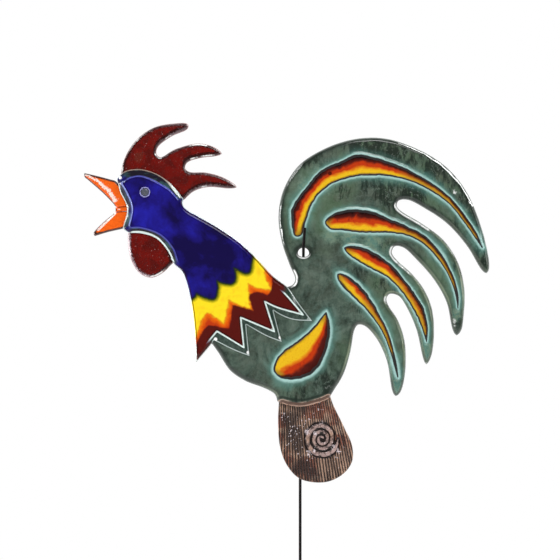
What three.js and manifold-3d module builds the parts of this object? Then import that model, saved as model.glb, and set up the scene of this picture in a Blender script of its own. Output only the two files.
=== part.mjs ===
// Rooster garden sculpture: a flat figure of glazed clay slabs that hangs by one hole on a bent steel rod.
// Millimetres, +Z up. The origin is on the rod at the ground line; the beak points to -X, the front to -Y.
import * as THREE from 'three';
import { mergeVertices } from 'three/addons/utils/BufferGeometryUtils.js';
import Module from 'manifold-3d';

const wasm = await Module();
wasm.setup();

// Driving dimensions
const figureWidth = 446.5;    // tip of the beak to the back of the tail
const bodyThickness = 7;      // body and tail slab
const headThickness = 5.2;    // head and hackle slab
const trimThickness = 5.4;    // comb, beak and wattle
const stumpThickness = 6;
const edgeRound = 1.2;        // softened edge of every slab
const slipGap = 0.3;          // joint between two pieces of clay
const holeDiameter = 12.5;    // hanging hole
const rodDiameter = 3.2;
const hangHeight = 380;       // hole's centre above the ground
const groundDepth = 230;      // rod in the soil
const rodLean = 3.5;          // sideways run of the rod behind the figure
const bendRadius = 5;         // inside the rod's two bends, on the centreline
const hookStandoff = 0.3;     // from the figure's front to the start of the upper bend
const hookTipLength = 20;     // upright end of the rod in front of the figure
const hookTipLean = 1.5;
const hangGap = 0.3;          // between the rod and the top of the hole
const swingGap = 3.8;         // free height under the rod in the hole
const glazeDepth = 1.2;       // carved hollow that holds a pool of glaze
const coatThickness = 0.6;    // glaze on the neck
const eyeDiameter = 12.4;
const eyeRingWidth = 2;
const eyeHeight = 1.4;
const beadHeight = 1.1;
const knotDiameter = 41;
const knotTurns = 4;
const knotStart = 0.8;        // turn at which the coil begins, clear of the centre
const knotBand = 3;           // width of the spiral coil
const knotHeight = 1.4;
const facetLength = 6;        // longest chord along a curved outline
const roundSides = 16;        // sides of the rod
const eyeSides = 24;
const bendSteps = 6;
const turnSteps = 20;         // chords in one turn of the spiral

// Planes of the layers, counted from the rod towards the front
const rodRadius = rodDiameter / 2;
const stumpBack = -(rodRadius + slipGap);
const stumpFront = stumpBack - stumpThickness;
const bodyBack = stumpFront - slipGap;
const bodyFront = bodyBack - bodyThickness;
const headBack = bodyFront - slipGap;
const headFront = headBack - headThickness;
const trimBack = bodyFront + trimThickness;
const coatBack = headFront - slipGap;
const coatFront = coatBack - coatThickness;

// Cutting template, in grid squares from the hole's centre. A list is one smooth edge;
// it starts at the corner where the list before it ends.
const bodyTemplate = [
  [[-2.15, -3.75], [-1.25, -3.5], [-0.9, -2.9], [-1.55, -1.2], [-2.35, 1.15], [-2.75, 4.1], [-2.2, 7],
    [-0.5, 9.7], [2.15, 11.45], [5.35, 12.55], [8.75, 12.7], [12.25, 11.65], [15.55, 9.7], [17.9, 6.95],
    [19.4, 3.55], [20.3, 0.25], [20.5, -1.6], [20.2, -2.2], [19.7, -1.85],
    [18.1, 0.75], [15.9, 3.25], [13.5, 4.9], [11.5, 5.9], [10.5, 5.8], [10.3, 5.2], [10.8, 4.65],
    [13.1, 3.25], [15.35, 1.55], [16.95, -0.8], [17.75, -3.8], [17.65, -7.1], [17.4, -8.5], [16.9, -9.05],
    [16.5, -8.5], [15.8, -5.4], [14.45, -2.95], [12.5, -0.7], [11, 0.65], [10.05, 0.75], [9.75, 0.05],
    [10.3, -0.75], [11.95, -2.25], [13.4, -4.15], [14.25, -6.5], [14.35, -9.85], [14, -11.6], [13.55, -12.25],
    [13.25, -11.7], [12.5, -8.5], [11.5, -6.15], [10.5, -4.7], [9.5, -4.5], [9.15, -5.05], [9.4, -5.8],
    [10.4, -7.35], [11.15, -9.65], [11.25, -12.8], [10.75, -15.2], [10.2, -15.75], [9.85, -15.3],
    [9.2, -11.85], [8.1, -9.45], [6.75, -8], [6, -7.9], [5.6, -8.55],
    [5.2, -10.75], [4.4, -13.35], [3.05, -15.6]],
  [[2.85, -15.95], [1.6, -16.5], [-0.15, -16.9], [-1.7, -16.75], [-2.85, -16.35]],
  [[-3.15, -15.55], [-4.25, -14.9], [-6.35, -14.1], [-8.1, -12.9], [-9.35, -11], [-9.95, -10.15]],
  [[-10.6, -9.3], [-10.7, -7.1], [-8.95, -4.25], [-5.9, -2.5], [-3.7, -2.9], [-2.6, -3.75]],
];
const headTemplate = [
  [[-19.75, 8.95], [-18, 9.25], [-16.1, 8.7], [-14.45, 7.5], [-13.2, 5.95]],
  [[-13.25, 5.4], [-12.85, 4.85], [-11.5, 4.05], [-9.3, 2.8], [-6.95, 1.15], [-5.1, -0.6], [-3.35, -2.5],
    [-1.8, -3.7], [-0.45, -5.6], [0.95, -7.45]],
  [[-1.15, -7.3], [-2.6, -6.75], [-3.3, -6.3]],
  [[-2.9, -7.9], [-2.4, -9.75]],
  [[-4.1, -9.1], [-6.3, -7.85]],
  [[-6.15, -9.55], [-5.95, -11.3]],
  [[-7.55, -10.7], [-9.85, -9.55]],
  [[-10.25, -10.15], [-11.8, -12]],
  [[-11.9, -9.55], [-12.5, -4.7], [-13.35, -2.05], [-14.2, -1.2], [-14.95, 0.3], [-16.2, 1.65],
    [-17.9, 2.2], [-19.3, 2.3], [-19.9, 2.75]],
  [[-19.45, 4.3], [-19.45, 5.2], [-20.2, 6.85], [-20.5, 8.15]],
];
const ridgeTemplate = [
  [[-19.1, 8.25], [-18, 8.45], [-16.9, 8.15], [-15.8, 7.6], [-14.7, 6.9], [-13.75, 5.85]],
  [[-13.6, 5.2], [-13.15, 4.45], [-11.7, 3.55], [-9.5, 2.3], [-7.3, 0.75], [-5.55, -1.05], [-3.8, -3],
    [-2.3, -4.2], [-0.05, -6.75]],
  [[-3, -5.9], [-4.25, -5.3]],
  [[-3.2, -8.6]],
  [[-6.9, -7.05]],
  [[-6.55, -10.35]],
  [[-9.5, -8.55]],
  [[-10.05, -9.2], [-11.45, -11.1]],
  [[-11.55, -9.55], [-12.05, -4.8], [-12.9, -2.3], [-13.8, -0.95], [-14.3, 0.45], [-15.7, 2], [-18, 2.8],
    [-19.2, 2.75]],
  [[-18.8, 5], [-19.4, 6.65], [-20, 7.7]],
];
const combTemplate = [
  [[-19.8, 10.25], [-18.6, 12.3], [-16.65, 13.8], [-14.45, 14.3], [-12.75, 14.25], [-12.75, 13.75],
    [-14.6, 12.85], [-16.05, 11.7], [-16.2, 10.95], [-15.75, 10.6], [-14.2, 11.45], [-11.6, 12.1],
    [-9.75, 11.65], [-9, 11], [-9.5, 10.75], [-11.4, 10.5], [-12.8, 10], [-13.05, 9.4], [-12.6, 9],
    [-10.7, 8.9], [-8.7, 8.3], [-7.35, 7.3], [-8.1, 7.15], [-10.5, 7.3], [-12.05, 6.85], [-13.2, 5.9]],
  [[-15.1, 6.4], [-17.45, 7.6], [-20.25, 7.75]],
];
const upperBeakTemplate = [
  [[-22.4, 8.45], [-20.75, 8]],
  [[-19, 6.3], [-18.85, 5.2]],
  [[-20.6, 5.1]],
  [[-22, 6.55], [-24.15, 8.45]],
  [[-24.15, 8.85]],
];
const lowerBeakTemplate = [
  [[-18.85, 4.65]],
  [[-19.1, 3.1], [-19.95, 2.7]],
  [[-21.5, 2.35], [-23, 1.9]],
  [[-23.15, 2.2], [-22.2, 3.3], [-20.7, 4.5]],
];
const beakCornerTemplate = [[[-20.7, 5.05]], [[-18.9, 5.15]], [[-18.9, 4.7]], [[-20.7, 4.55]]];
const wattleTemplate = [
  [[-19.35, 1.15], [-18.95, -0.85], [-18.05, -2.2], [-16.8, -2.7], [-15.5, -2.15], [-14.35, -1]],
  [[-15.1, 1.45], [-16.9, 2.85], [-19.3, 2.55]],
];
const stumpTemplate = [
  [[-2.8, -18.55], [-2.55, -21.55], [-1.7, -23.6], [-0.3, -24.95], [2.35, -25.3], [4.25, -24.5],
    [5.35, -23.1], [5.4, -21.3], [4.45, -19.1], [3.15, -16.35], [2.7, -14.6]],
  [[-2.6, -14.6]],
];
const wingTemplate = [
  [[2.85, -8.05], [2.5, -10.55], [1.15, -12.95], [-0.8, -13.8], [-2.7, -13.55], [-3.25, -12.6],
    [-2.5, -11.1], [-0.5, -9.6], [1.15, -8.1], [2.5, -6.45]],
];
const tailTemplates = [
  [
    [[18.8, 1.85], [17.7, 3.4], [15.9, 5.55], [13.35, 7.25], [10.6, 8.3], [7.85, 8.6], [4.9, 8.3],
      [2.7, 7.4], [1.05, 5.7], [0.2, 3.45], [-0.3, 1.95], [-0.9, 1.9], [-1.3, 3.45], [-1.15, 5.15],
      [0.3, 7.2], [1.9, 9.05], [3.9, 10], [5.9, 10.85], [7.85, 10.5], [10.85, 9.5], [13.6, 8], [16.1, 6.15],
      [18.15, 3.6], [19.15, 2], [19.7, 0.55]],
  ],
  [
    [[16.6, -4.05], [15.45, -1.55], [13.5, 0.8], [11.5, 1.95], [8.85, 2.3], [6.2, 2.3], [4.1, 2.6],
      [3, 2.65], [2.4, 3.45], [3.6, 4.45], [5.35, 4.8], [7.55, 4.55], [9.5, 3.75], [11.4, 2.95],
      [13.5, 1.8], [15.35, -0.45], [16.55, -2.75], [17.05, -4.9], [17, -6.15]],
  ],
  [
    [[12.8, -7.6], [11.5, -5.2], [9.5, -2.85], [7.3, -1.6], [5.2, -0.3], [4.45, 0.6], [5.45, 0.8],
      [7.4, 0.25], [9.5, -1.15], [11.6, -3.6], [13.15, -6], [13.65, -8.2], [13.55, -9.8]],
  ],
  [
    [[9.6, -10.95], [8.5, -8.35], [6.9, -6.2], [4.9, -4.2], [3.9, -3.05], [3.75, -2.3], [4.55, -2.4],
      [6.3, -3.7], [7.85, -5.9], [9.3, -8.7], [10.05, -11.4], [10.4, -13.7]],
  ],
];
const eyePlace = [-17.4, 6.7];
const knotPlace = [2.1, -20.55];
const stumpFoot = Math.min(...stumpTemplate.flat().map(([, z]) => z));

// Borders of the neck's colours, from its front edge to its back edge, and the ends of the field they cross
const neckBorders = [
  [[-12.7, -5.35], [-11.65, -4.25], [-9.8, -5.05], [-9.55, -2.9], [-7.8, -3.4], [-7.7, -1.45],
    [-6.1, -2.05], [-5.65, 0.35]],
  [[-12.5, -10.1], [-10.65, -6.55], [-8.8, -7.45], [-8.2, -5.15], [-6, -5.8], [-6.05, -3.4],
    [-3.8, -4], [-3.45, -0.95]],
  [[-12.5, -11.3], [-10.6, -7.95], [-8.3, -8.15], [-7.75, -5.85], [-5.35, -6.55], [-5.55, -4.2],
    [-3, -4.75], [-1.9, -2.05]],
];
const neckTop = [[-22, -5.35], [-22, 11], [-5.65, 11]];
const neckFoot = [[-13, -14], [3, -14], [3, -2.05]];

// Size of one square of the template
const templateX = [...bodyTemplate, ...upperBeakTemplate].flat().map(([x]) => x);
const gridSquare = figureWidth / (Math.max(...templateX) - Math.min(...templateX));

// Finishes
function finish(color, roughness, metalness = 0) {
  return new THREE.MeshStandardMaterial({ color, roughness, metalness });
}

const greenGlaze = finish(0x5f7468, 0.3);
const darkGlaze = finish(0x27413c, 0.3);
const blueGlaze = finish(0x1b1a8c, 0.2);
const yellowGlaze = finish(0xf5c52a, 0.2);
const orangeGlaze = finish(0xf2661f, 0.2);
const redGlaze = finish(0x5f1a14, 0.25);
const paleGlaze = finish(0xb9b4e0, 0.25);
const greyGlaze = finish(0x747a84, 0.25);
const barkClay = finish(0x6b3a2a, 0.6);
const rodSteel = finish(0x1c1b1b, 0.45, 0.9);

// Corner points of a template outline: every list becomes a curve, a list of one point a straight edge
function outline(template) {
  const place = ([x, z]) => new THREE.Vector3(x, z, 0).multiplyScalar(gridSquare);
  const scaled = template.map((edge) => edge.map(place));
  const points = [];
  let corner = scaled.at(-1).at(-1);
  for (const edge of scaled) {
    const curve = new THREE.CatmullRomCurve3([corner, ...edge], false, 'centripetal');
    edge.forEach((end, i) => {
      const start = i === 0 ? corner : edge[i - 1];
      const chords = edge.length === 1 ? 1 : Math.max(2, Math.ceil(start.distanceTo(end) / facetLength));
      for (let k = 1; k <= chords; k += 1) points.push(curve.getPoint((i + k / chords) / edge.length));
    });
    corner = edge.at(-1);
  }
  return points.map(({ x, y }) => new THREE.Vector2(x, y));
}

// Same outline moved inwards, mitred at its corners
function inset(points, distance) {
  const side = THREE.ShapeUtils.isClockWise(points) ? -distance : distance;
  const miterLimit = 2;
  return points.map((point, i) => {
    const before = point.clone().sub(points.at(i - 1)).normalize();
    const after = points[(i + 1) % points.length].clone().sub(point).normalize();
    const along = before.clone().add(after).normalize();
    const miter = Math.min(miterLimit, 1 / Math.max(along.dot(before), 1 / miterLimit));
    return new THREE.Vector2(point.x - along.y * side * miter, point.y + along.x * side * miter);
  });
}

// Plate of an outline, from y = 0 towards the front, with softened edges where round is given
function plate(points, thickness, round = 0, holes = []) {
  const shape = new THREE.Shape(points);
  shape.holes = holes;
  const geometry = new THREE.ExtrudeGeometry(shape, {
    depth: thickness - 2 * round,
    bevelEnabled: round > 0,
    bevelThickness: round,
    bevelSize: round,
    bevelOffset: -round,
    bevelSegments: 1,
  });
  return geometry.translate(0, 0, round).rotateX(Math.PI / 2);
}

function solid(geometry) {
  const bare = geometry.clone();
  bare.deleteAttribute('normal');
  bare.deleteAttribute('uv');
  const merged = mergeVertices(bare);
  const vertProperties = new Float32Array(merged.attributes.position.array);
  const triVerts = new Uint32Array(merged.index.array);
  return new wasm.Manifold(new wasm.Mesh({ numProp: 3, vertProperties, triVerts }));
}

function geometryOf(body) {
  const { vertProperties, triVerts } = body.getMesh();
  const geometry = new THREE.BufferGeometry();
  geometry.setAttribute('position', new THREE.BufferAttribute(new Float32Array(vertProperties), 3));
  geometry.setIndex(new THREE.BufferAttribute(new Uint32Array(triVerts), 1));
  geometry.computeVertexNormals();
  return geometry;
}

function piece(name, geometry, material, back = 0) {
  const mesh = new THREE.Mesh(geometry, material);
  mesh.name = name;
  mesh.position.y = back;
  return mesh;
}

// Glaze pools, each in a hollow carved into the front of the body
const pools = [
  { name: 'wing_glaze', template: wingTemplate, material: orangeGlaze },
  ...tailTemplates.map((template, i) => ({ name: `tail_glaze_${i + 1}`, template, material: redGlaze })),
].map((pool) => ({ ...pool, edge: outline(pool.template) }));

function glazePools() {
  const back = bodyFront + glazeDepth - slipGap;
  return pools.map(({ name, edge, material }) => (
    piece(name, plate(inset(edge, slipGap), glazeDepth - slipGap), material, back)
  ));
}

function bodySlab() {
  const hole = new THREE.Path().absarc(0, 0, holeDiameter / 2, 0, 2 * Math.PI);
  let body = solid(plate(outline(bodyTemplate), bodyThickness, edgeRound, [hole]));
  for (const { edge } of pools) {
    const cutter = plate(edge, 2 * glazeDepth).translate(0, glazeDepth - bodyThickness, 0);
    body = body.subtract(solid(cutter));
  }
  return piece('body_slab', geometryOf(body), greenGlaze, bodyBack);
}

// Head, hackle and the pieces tucked behind the head
function headPieces() {
  const trims = [
    ['comb', combTemplate, redGlaze],
    ['beak_upper', upperBeakTemplate, orangeGlaze],
    ['beak_lower', lowerBeakTemplate, orangeGlaze],
    ['beak_corner', beakCornerTemplate, orangeGlaze],
    ['wattle', wattleTemplate, redGlaze],
  ];
  return [
    piece('hackle_slab', plate(outline(headTemplate), headThickness, edgeRound), darkGlaze, headBack),
    ...trims.map(([name, template, material]) => (
      piece(name, plate(outline(template), trimThickness, edgeRound), material, trimBack)
    )),
  ];
}

// Neck glaze: the head's front inside its sloping rim, parted along the colour borders
function neckGlaze() {
  const rows = [neckTop, ...neckBorders, neckFoot];
  const fields = [['blue', blueGlaze], ['yellow', yellowGlaze], ['orange', orangeGlaze], ['red', redGlaze]];
  const front = solid(plate(outline(ridgeTemplate), coatThickness));
  return fields.map(([colour, material], i) => {
    const border = [...rows[i], ...rows[i + 1].toReversed()];
    const region = border.map(([x, z]) => new THREE.Vector2(x, z).multiplyScalar(gridSquare));
    const cutter = plate(inset(region, slipGap / 2), 3 * coatThickness).translate(0, coatThickness, 0);
    return piece(`neck_glaze_${colour}`, geometryOf(front.intersect(solid(cutter))), material, coatBack);
  });
}

// Eye: a lathed ring round a lathed bead, both on the blue glaze
function eyePieces() {
  const outer = eyeDiameter / 2;
  const inner = outer - eyeRingWidth;
  const bead = inner - slipGap;
  const ringProfile = [[inner, 0], [outer, 0], [(inner + outer) / 2, eyeHeight], [inner, 0]];
  const beadProfile = [[0, 0], [bead, 0], [bead, beadHeight / 2], [bead / 2, beadHeight], [0, beadHeight]];
  const turned = (profile) => {
    const points = profile.map(([radius, height]) => new THREE.Vector2(radius, height));
    return new THREE.LatheGeometry(points, eyeSides).rotateX(Math.PI);
  };
  const ring = piece('eye_ring', turned(ringProfile), paleGlaze, coatFront - slipGap);
  const pupil = piece('eye_bead', turned(beadProfile), greyGlaze, coatFront - slipGap);
  for (const part of [ring, pupil]) {
    part.position.x = eyePlace[0] * gridSquare;
    part.position.z = eyePlace[1] * gridSquare;
  }
  return [ring, pupil];
}

// Stump and the flat spiral coil of its knot
function stumpPieces() {
  const pitch = knotDiameter / 2 / knotTurns;
  const chords = Math.round((knotTurns - knotStart) * turnSteps);
  const spiral = (offset) => Array.from({ length: chords + 1 }, (_, i) => {
    const turn = THREE.MathUtils.lerp(knotStart, knotTurns, i / chords);
    const radius = turn * pitch - knotBand / 2 + offset;
    const angle = 2 * Math.PI * turn;
    return new THREE.Vector2(radius * Math.cos(angle), radius * Math.sin(angle));
  });
  const coil = [...spiral(knotBand / 2), ...spiral(-knotBand / 2).reverse()];
  const knot = piece('stump_knot', plate(coil, knotHeight), barkClay, stumpFront - slipGap);
  knot.position.x = knotPlace[0] * gridSquare;
  knot.position.z = knotPlace[1] * gridSquare;
  const stump = plate(outline(stumpTemplate), stumpThickness, edgeRound);
  return [piece('stump', stump, barkClay, stumpBack), knot];
}

// Path through given stations, so that a straight run takes one step and a bend several
class StationPath extends THREE.Curve {
  constructor(stations) {
    super();
    this.stations = stations;
  }

  getPoint(t, target = new THREE.Vector3()) {
    const place = t * (this.stations.length - 1);
    const index = Math.min(Math.floor(place), this.stations.length - 2);
    return target.lerpVectors(this.stations[index], this.stations[index + 1], place - index);
  }

  getUtoTmapping(u) {
    return u;
  }
}

// Rounds the corners of a path; a corner of a degree or two stays as it is
function roundedStations(corners, radius) {
  const slightTurn = THREE.MathUtils.degToRad(3);
  return corners.flatMap((corner, i) => {
    if (i === 0 || i === corners.length - 1) return [corner];
    const back = corners[i - 1].clone().sub(corner).normalize();
    const ahead = corners[i + 1].clone().sub(corner).normalize();
    const turn = Math.PI - back.angleTo(ahead);
    if (turn < slightTurn) return [corner];
    const start = corner.clone().addScaledVector(back, radius * Math.tan(turn / 2));
    const bisector = back.clone().add(ahead).normalize();
    const centre = corner.clone().addScaledVector(bisector, radius / Math.cos(turn / 2));
    const axis = ahead.clone().cross(back).normalize();
    return Array.from({ length: bendSteps + 1 }, (_, k) => (
      start.clone().sub(centre).applyAxisAngle(axis, turn * k / bendSteps).add(centre)
    ));
  });
}

// Rod: up behind the figure, slanting forward through the hole and up in front of it.
// The slope is the steepest that leaves both gaps along the hole's straight wall.
function supportRod() {
  const passage = holeDiameter - hangGap - swingGap;
  const wall = bodyThickness - 2 * edgeRound;
  const slope = Math.acos(rodDiameter / Math.hypot(passage, wall)) - Math.atan2(wall, passage);
  const seat = bodyFront + edgeRound;
  const seatRise = holeDiameter / 2 - hangGap - rodRadius / Math.cos(slope);
  const bendRun = bendRadius * Math.tan((Math.PI / 2 - slope) / 2) * Math.cos(slope);
  const hookFront = bodyFront - rodRadius - hookStandoff - bendRun;
  const heightAt = (y) => hangHeight + seatRise + (seat - y) * Math.tan(slope);
  const upperBend = heightAt(hookFront);
  const corners = [
    new THREE.Vector3(0, 0, -groundDepth),
    new THREE.Vector3(0, 0, hangHeight + stumpFoot * gridSquare),
    new THREE.Vector3(rodLean, 0, heightAt(0)),
    new THREE.Vector3(rodLean, hookFront, upperBend),
    new THREE.Vector3(rodLean + hookTipLean, hookFront, upperBend + hookTipLength),
  ];
  const stations = roundedStations(corners, bendRadius);
  const section = new THREE.Shape().absarc(0, 0, rodRadius, 0, 2 * Math.PI);
  const geometry = new THREE.ExtrudeGeometry(section, {
    steps: stations.length - 1,
    curveSegments: roundSides / 2,
    extrudePath: new StationPath(stations),
  });
  return piece('support_rod', geometry, rodSteel);
}

const figure = new THREE.Group();
figure.position.set(rodLean, 0, hangHeight);
figure.add(bodySlab(), ...glazePools(), ...headPieces(), ...neckGlaze(), ...eyePieces(), ...stumpPieces());

const rooster = new THREE.Group();
rooster.add(figure, supportRod());

export default rooster;
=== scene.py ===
"""Looks of a rooster garden sculpture: a flat figure of glazed clay slabs that hangs on a bent steel rod.

Outlines and depths are worked out in millimetres, x across, y to the back and z up, and turned into metres
when a mesh is made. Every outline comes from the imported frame. Places on the figure, such as a pool's broad
end or a patch of thick glaze, are given by x and z from the middle of the hanging hole.
"""
import math
from collections import Counter
from functools import cache, partial
from types import SimpleNamespace

import bpy
import numpy as np
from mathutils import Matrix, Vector, noise
from mathutils.geometry import delaunay_2d_cdt
from mathutils.kdtree import KDTree


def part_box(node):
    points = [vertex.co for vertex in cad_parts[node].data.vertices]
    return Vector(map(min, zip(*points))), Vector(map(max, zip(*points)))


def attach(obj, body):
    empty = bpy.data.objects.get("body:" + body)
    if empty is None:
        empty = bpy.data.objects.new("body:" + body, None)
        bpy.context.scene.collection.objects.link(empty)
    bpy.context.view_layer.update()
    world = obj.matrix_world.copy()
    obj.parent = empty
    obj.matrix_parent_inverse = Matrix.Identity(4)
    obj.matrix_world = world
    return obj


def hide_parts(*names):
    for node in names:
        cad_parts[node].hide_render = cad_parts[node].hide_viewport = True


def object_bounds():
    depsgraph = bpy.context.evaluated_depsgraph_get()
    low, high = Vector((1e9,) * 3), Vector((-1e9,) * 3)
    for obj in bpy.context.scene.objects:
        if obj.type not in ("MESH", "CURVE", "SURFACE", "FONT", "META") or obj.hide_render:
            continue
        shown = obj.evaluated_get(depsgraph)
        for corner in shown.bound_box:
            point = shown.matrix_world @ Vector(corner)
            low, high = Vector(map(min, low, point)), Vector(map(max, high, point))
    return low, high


bl_info = {
    "name": "Rooster Garden Sculpture",
    "version": (1, 0, 0),
    "blender": (4, 5, 0),
    "location": "View3D > Sidebar > Rooster",
    "description": "Dresses the CAD frame of a glazed clay rooster on a steel rod",
    "category": "Object",
}

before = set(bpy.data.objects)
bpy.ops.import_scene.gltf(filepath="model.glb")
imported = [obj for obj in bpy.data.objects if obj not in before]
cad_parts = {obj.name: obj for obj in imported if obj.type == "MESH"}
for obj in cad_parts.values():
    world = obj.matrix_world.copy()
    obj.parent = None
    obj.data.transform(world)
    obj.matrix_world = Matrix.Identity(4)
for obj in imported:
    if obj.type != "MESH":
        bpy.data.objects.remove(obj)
CAD_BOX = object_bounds()

MM = 0.001
OUTLINE_STEP = 1.5       # spacing of points along a clay edge
CURVE_PARTS = 8          # parts of a smooth curve between two of its points
CORNER = 62              # degrees of turn from which an outline's point is a sharp corner
TOUCHING = 0.6           # two coats of glaze nearer than this share a border
BACK_GLAZE = 4           # how far glaze runs round onto a slab's back
THINNEST = 1.2           # a slab's least thickness at its rim
SHARP = 48               # degrees from which two faces of clay meet in a sharp edge
FAR = 99.0               # distance that stands for nowhere near
DEEP_BLUE = (-100, 5)    # where the blue glaze is darkest
KNOT = (21, -205.5)      # middle of the stump's knot
COATS = ["blue", "yellow", "orange", "red"]

# Pools of glaze with their broad ends
POOLS = {"wing_glaze": (-27, -136), "tail_glaze_1": (-5, 17), "tail_glaze_2": (26, 37),
         "tail_glaze_3": (46, 5), "tail_glaze_4": (36, -27)}

# Borders of the neck's colours. A list is one smooth run; it starts at the tip where the list before it ends.
NECK_BORDERS = [
    [[(-130, -52), (-121, -49), (-117.5, -43.5)],
     [(-112, -46.5), (-106, -48.8), (-100, -50), (-96.8, -48.2), (-95.2, -42), (-94.6, -36), (-95.4, -29.5)],
     [(-91, -31.5), (-84, -33), (-78.5, -33), (-75.6, -30), (-75.2, -22), (-76.8, -15.8)],
     [(-73, -17), (-68, -20), (-62, -21.8), (-58.6, -19), (-57.4, -11), (-55, 8)]],
    [[(-128, -103), (-117, -88), (-112, -73), (-106.2, -65)],
     [(-100, -68), (-94, -72), (-88, -76.5)], [(-86, -70), (-84, -60), (-82, -51)],
     [(-74, -55), (-66, -58.5), (-57.5, -61)], [(-60, -55), (-60.5, -45), (-60.8, -33)],
     [(-52, -37.3), (-44, -38.9), (-35.8, -39.8)],
     [(-38.1, -35.2), (-41.2, -29.3), (-43.4, -22.4), (-41, -12)]],
    [[(-126, -116), (-116, -97), (-110, -85), (-104, -79)],
     [(-97, -80), (-90, -82), (-82, -82.5)], [(-80, -75), (-79, -66), (-77.5, -57)],
     [(-71, -58.3), (-64, -60.5), (-55.3, -63)], [(-56.5, -58), (-59.4, -50), (-59, -45)],
     [(-51.4, -42.8), (-46.7, -43.6), (-39.8, -46.4)],
     [(-36.4, -42.5), (-34.9, -38), (-34.4, -31), (-33, -18)]],
]


# Sizes and colours that a user would change

def linear(level):
    """Linear light of an 8-bit screen level."""
    share = level / 255
    return share / 12.92 if share <= 0.04045 else ((share + 0.055) / 1.055) ** 2.4


def tint(name, description, *levels):
    """A colour property, from 8-bit screen levels."""
    return bpy.props.FloatVectorProperty(
        name=name, description=description, subtype="COLOR", size=3, min=0, max=1,
        default=[linear(level) for level in levels])


def length(name, description, millimetres):
    """A length property."""
    return bpy.props.FloatProperty(
        name=name, description=description, unit="LENGTH", subtype="DISTANCE", min=0, precision=5,
        default=millimetres * MM)


def power(name, description, watts):
    """A lamp's power property."""
    return bpy.props.FloatProperty(name=name, description=description, unit="POWER", default=watts)


class RoosterSizes(bpy.types.PropertyGroup):
    """Sizes of the clay and the glaze."""
    bevel: length("Bevel", "Width of the bevel that the sponge leaves on the body's edge", 2.7)
    hole_rim: length("Hole rim", "Rounding of the hanging hole's edge", 2.2)
    trim_bevel: length("Trim bevel", "Width of the bevel on the comb's and wattle's edge", 1.8)
    beak_bevel: length("Beak bevel", "Width of the bevel on the beak's edge", 1.5)
    back_rim: length("Back rim", "Rounding of the edge behind", 1.0)
    lip: length("Lip", "Height of the raised lip round a pool of glaze", 0.65)
    lip_place: length("Lip place", "Distance of the lip's crest from the pool", 1.5)
    hollow: length("Hollow", "Depth of the clay under a pool of glaze", 0.9)
    wobble: length("Wobble", "Waver of a pool's poured edge", 0.7)
    ripple: length("Ripple", "Unevenness of the hand-rolled clay", 0.16)
    coat_rim: length("Coat rim", "Rounding of the neck glaze's edge", 0.8)
    ridge: length("Ridge", "Bead along the top of the head's sloping edge", 0.4)
    bark_pitch: length("Bark pitch", "Distance between two ridges of the bark", 2.6)
    bark_depth: length("Bark depth", "Height of the bark's ridges", 0.8)
    coil_height: length("Coil height", "Height of the knot's coil", 2.1)


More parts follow.
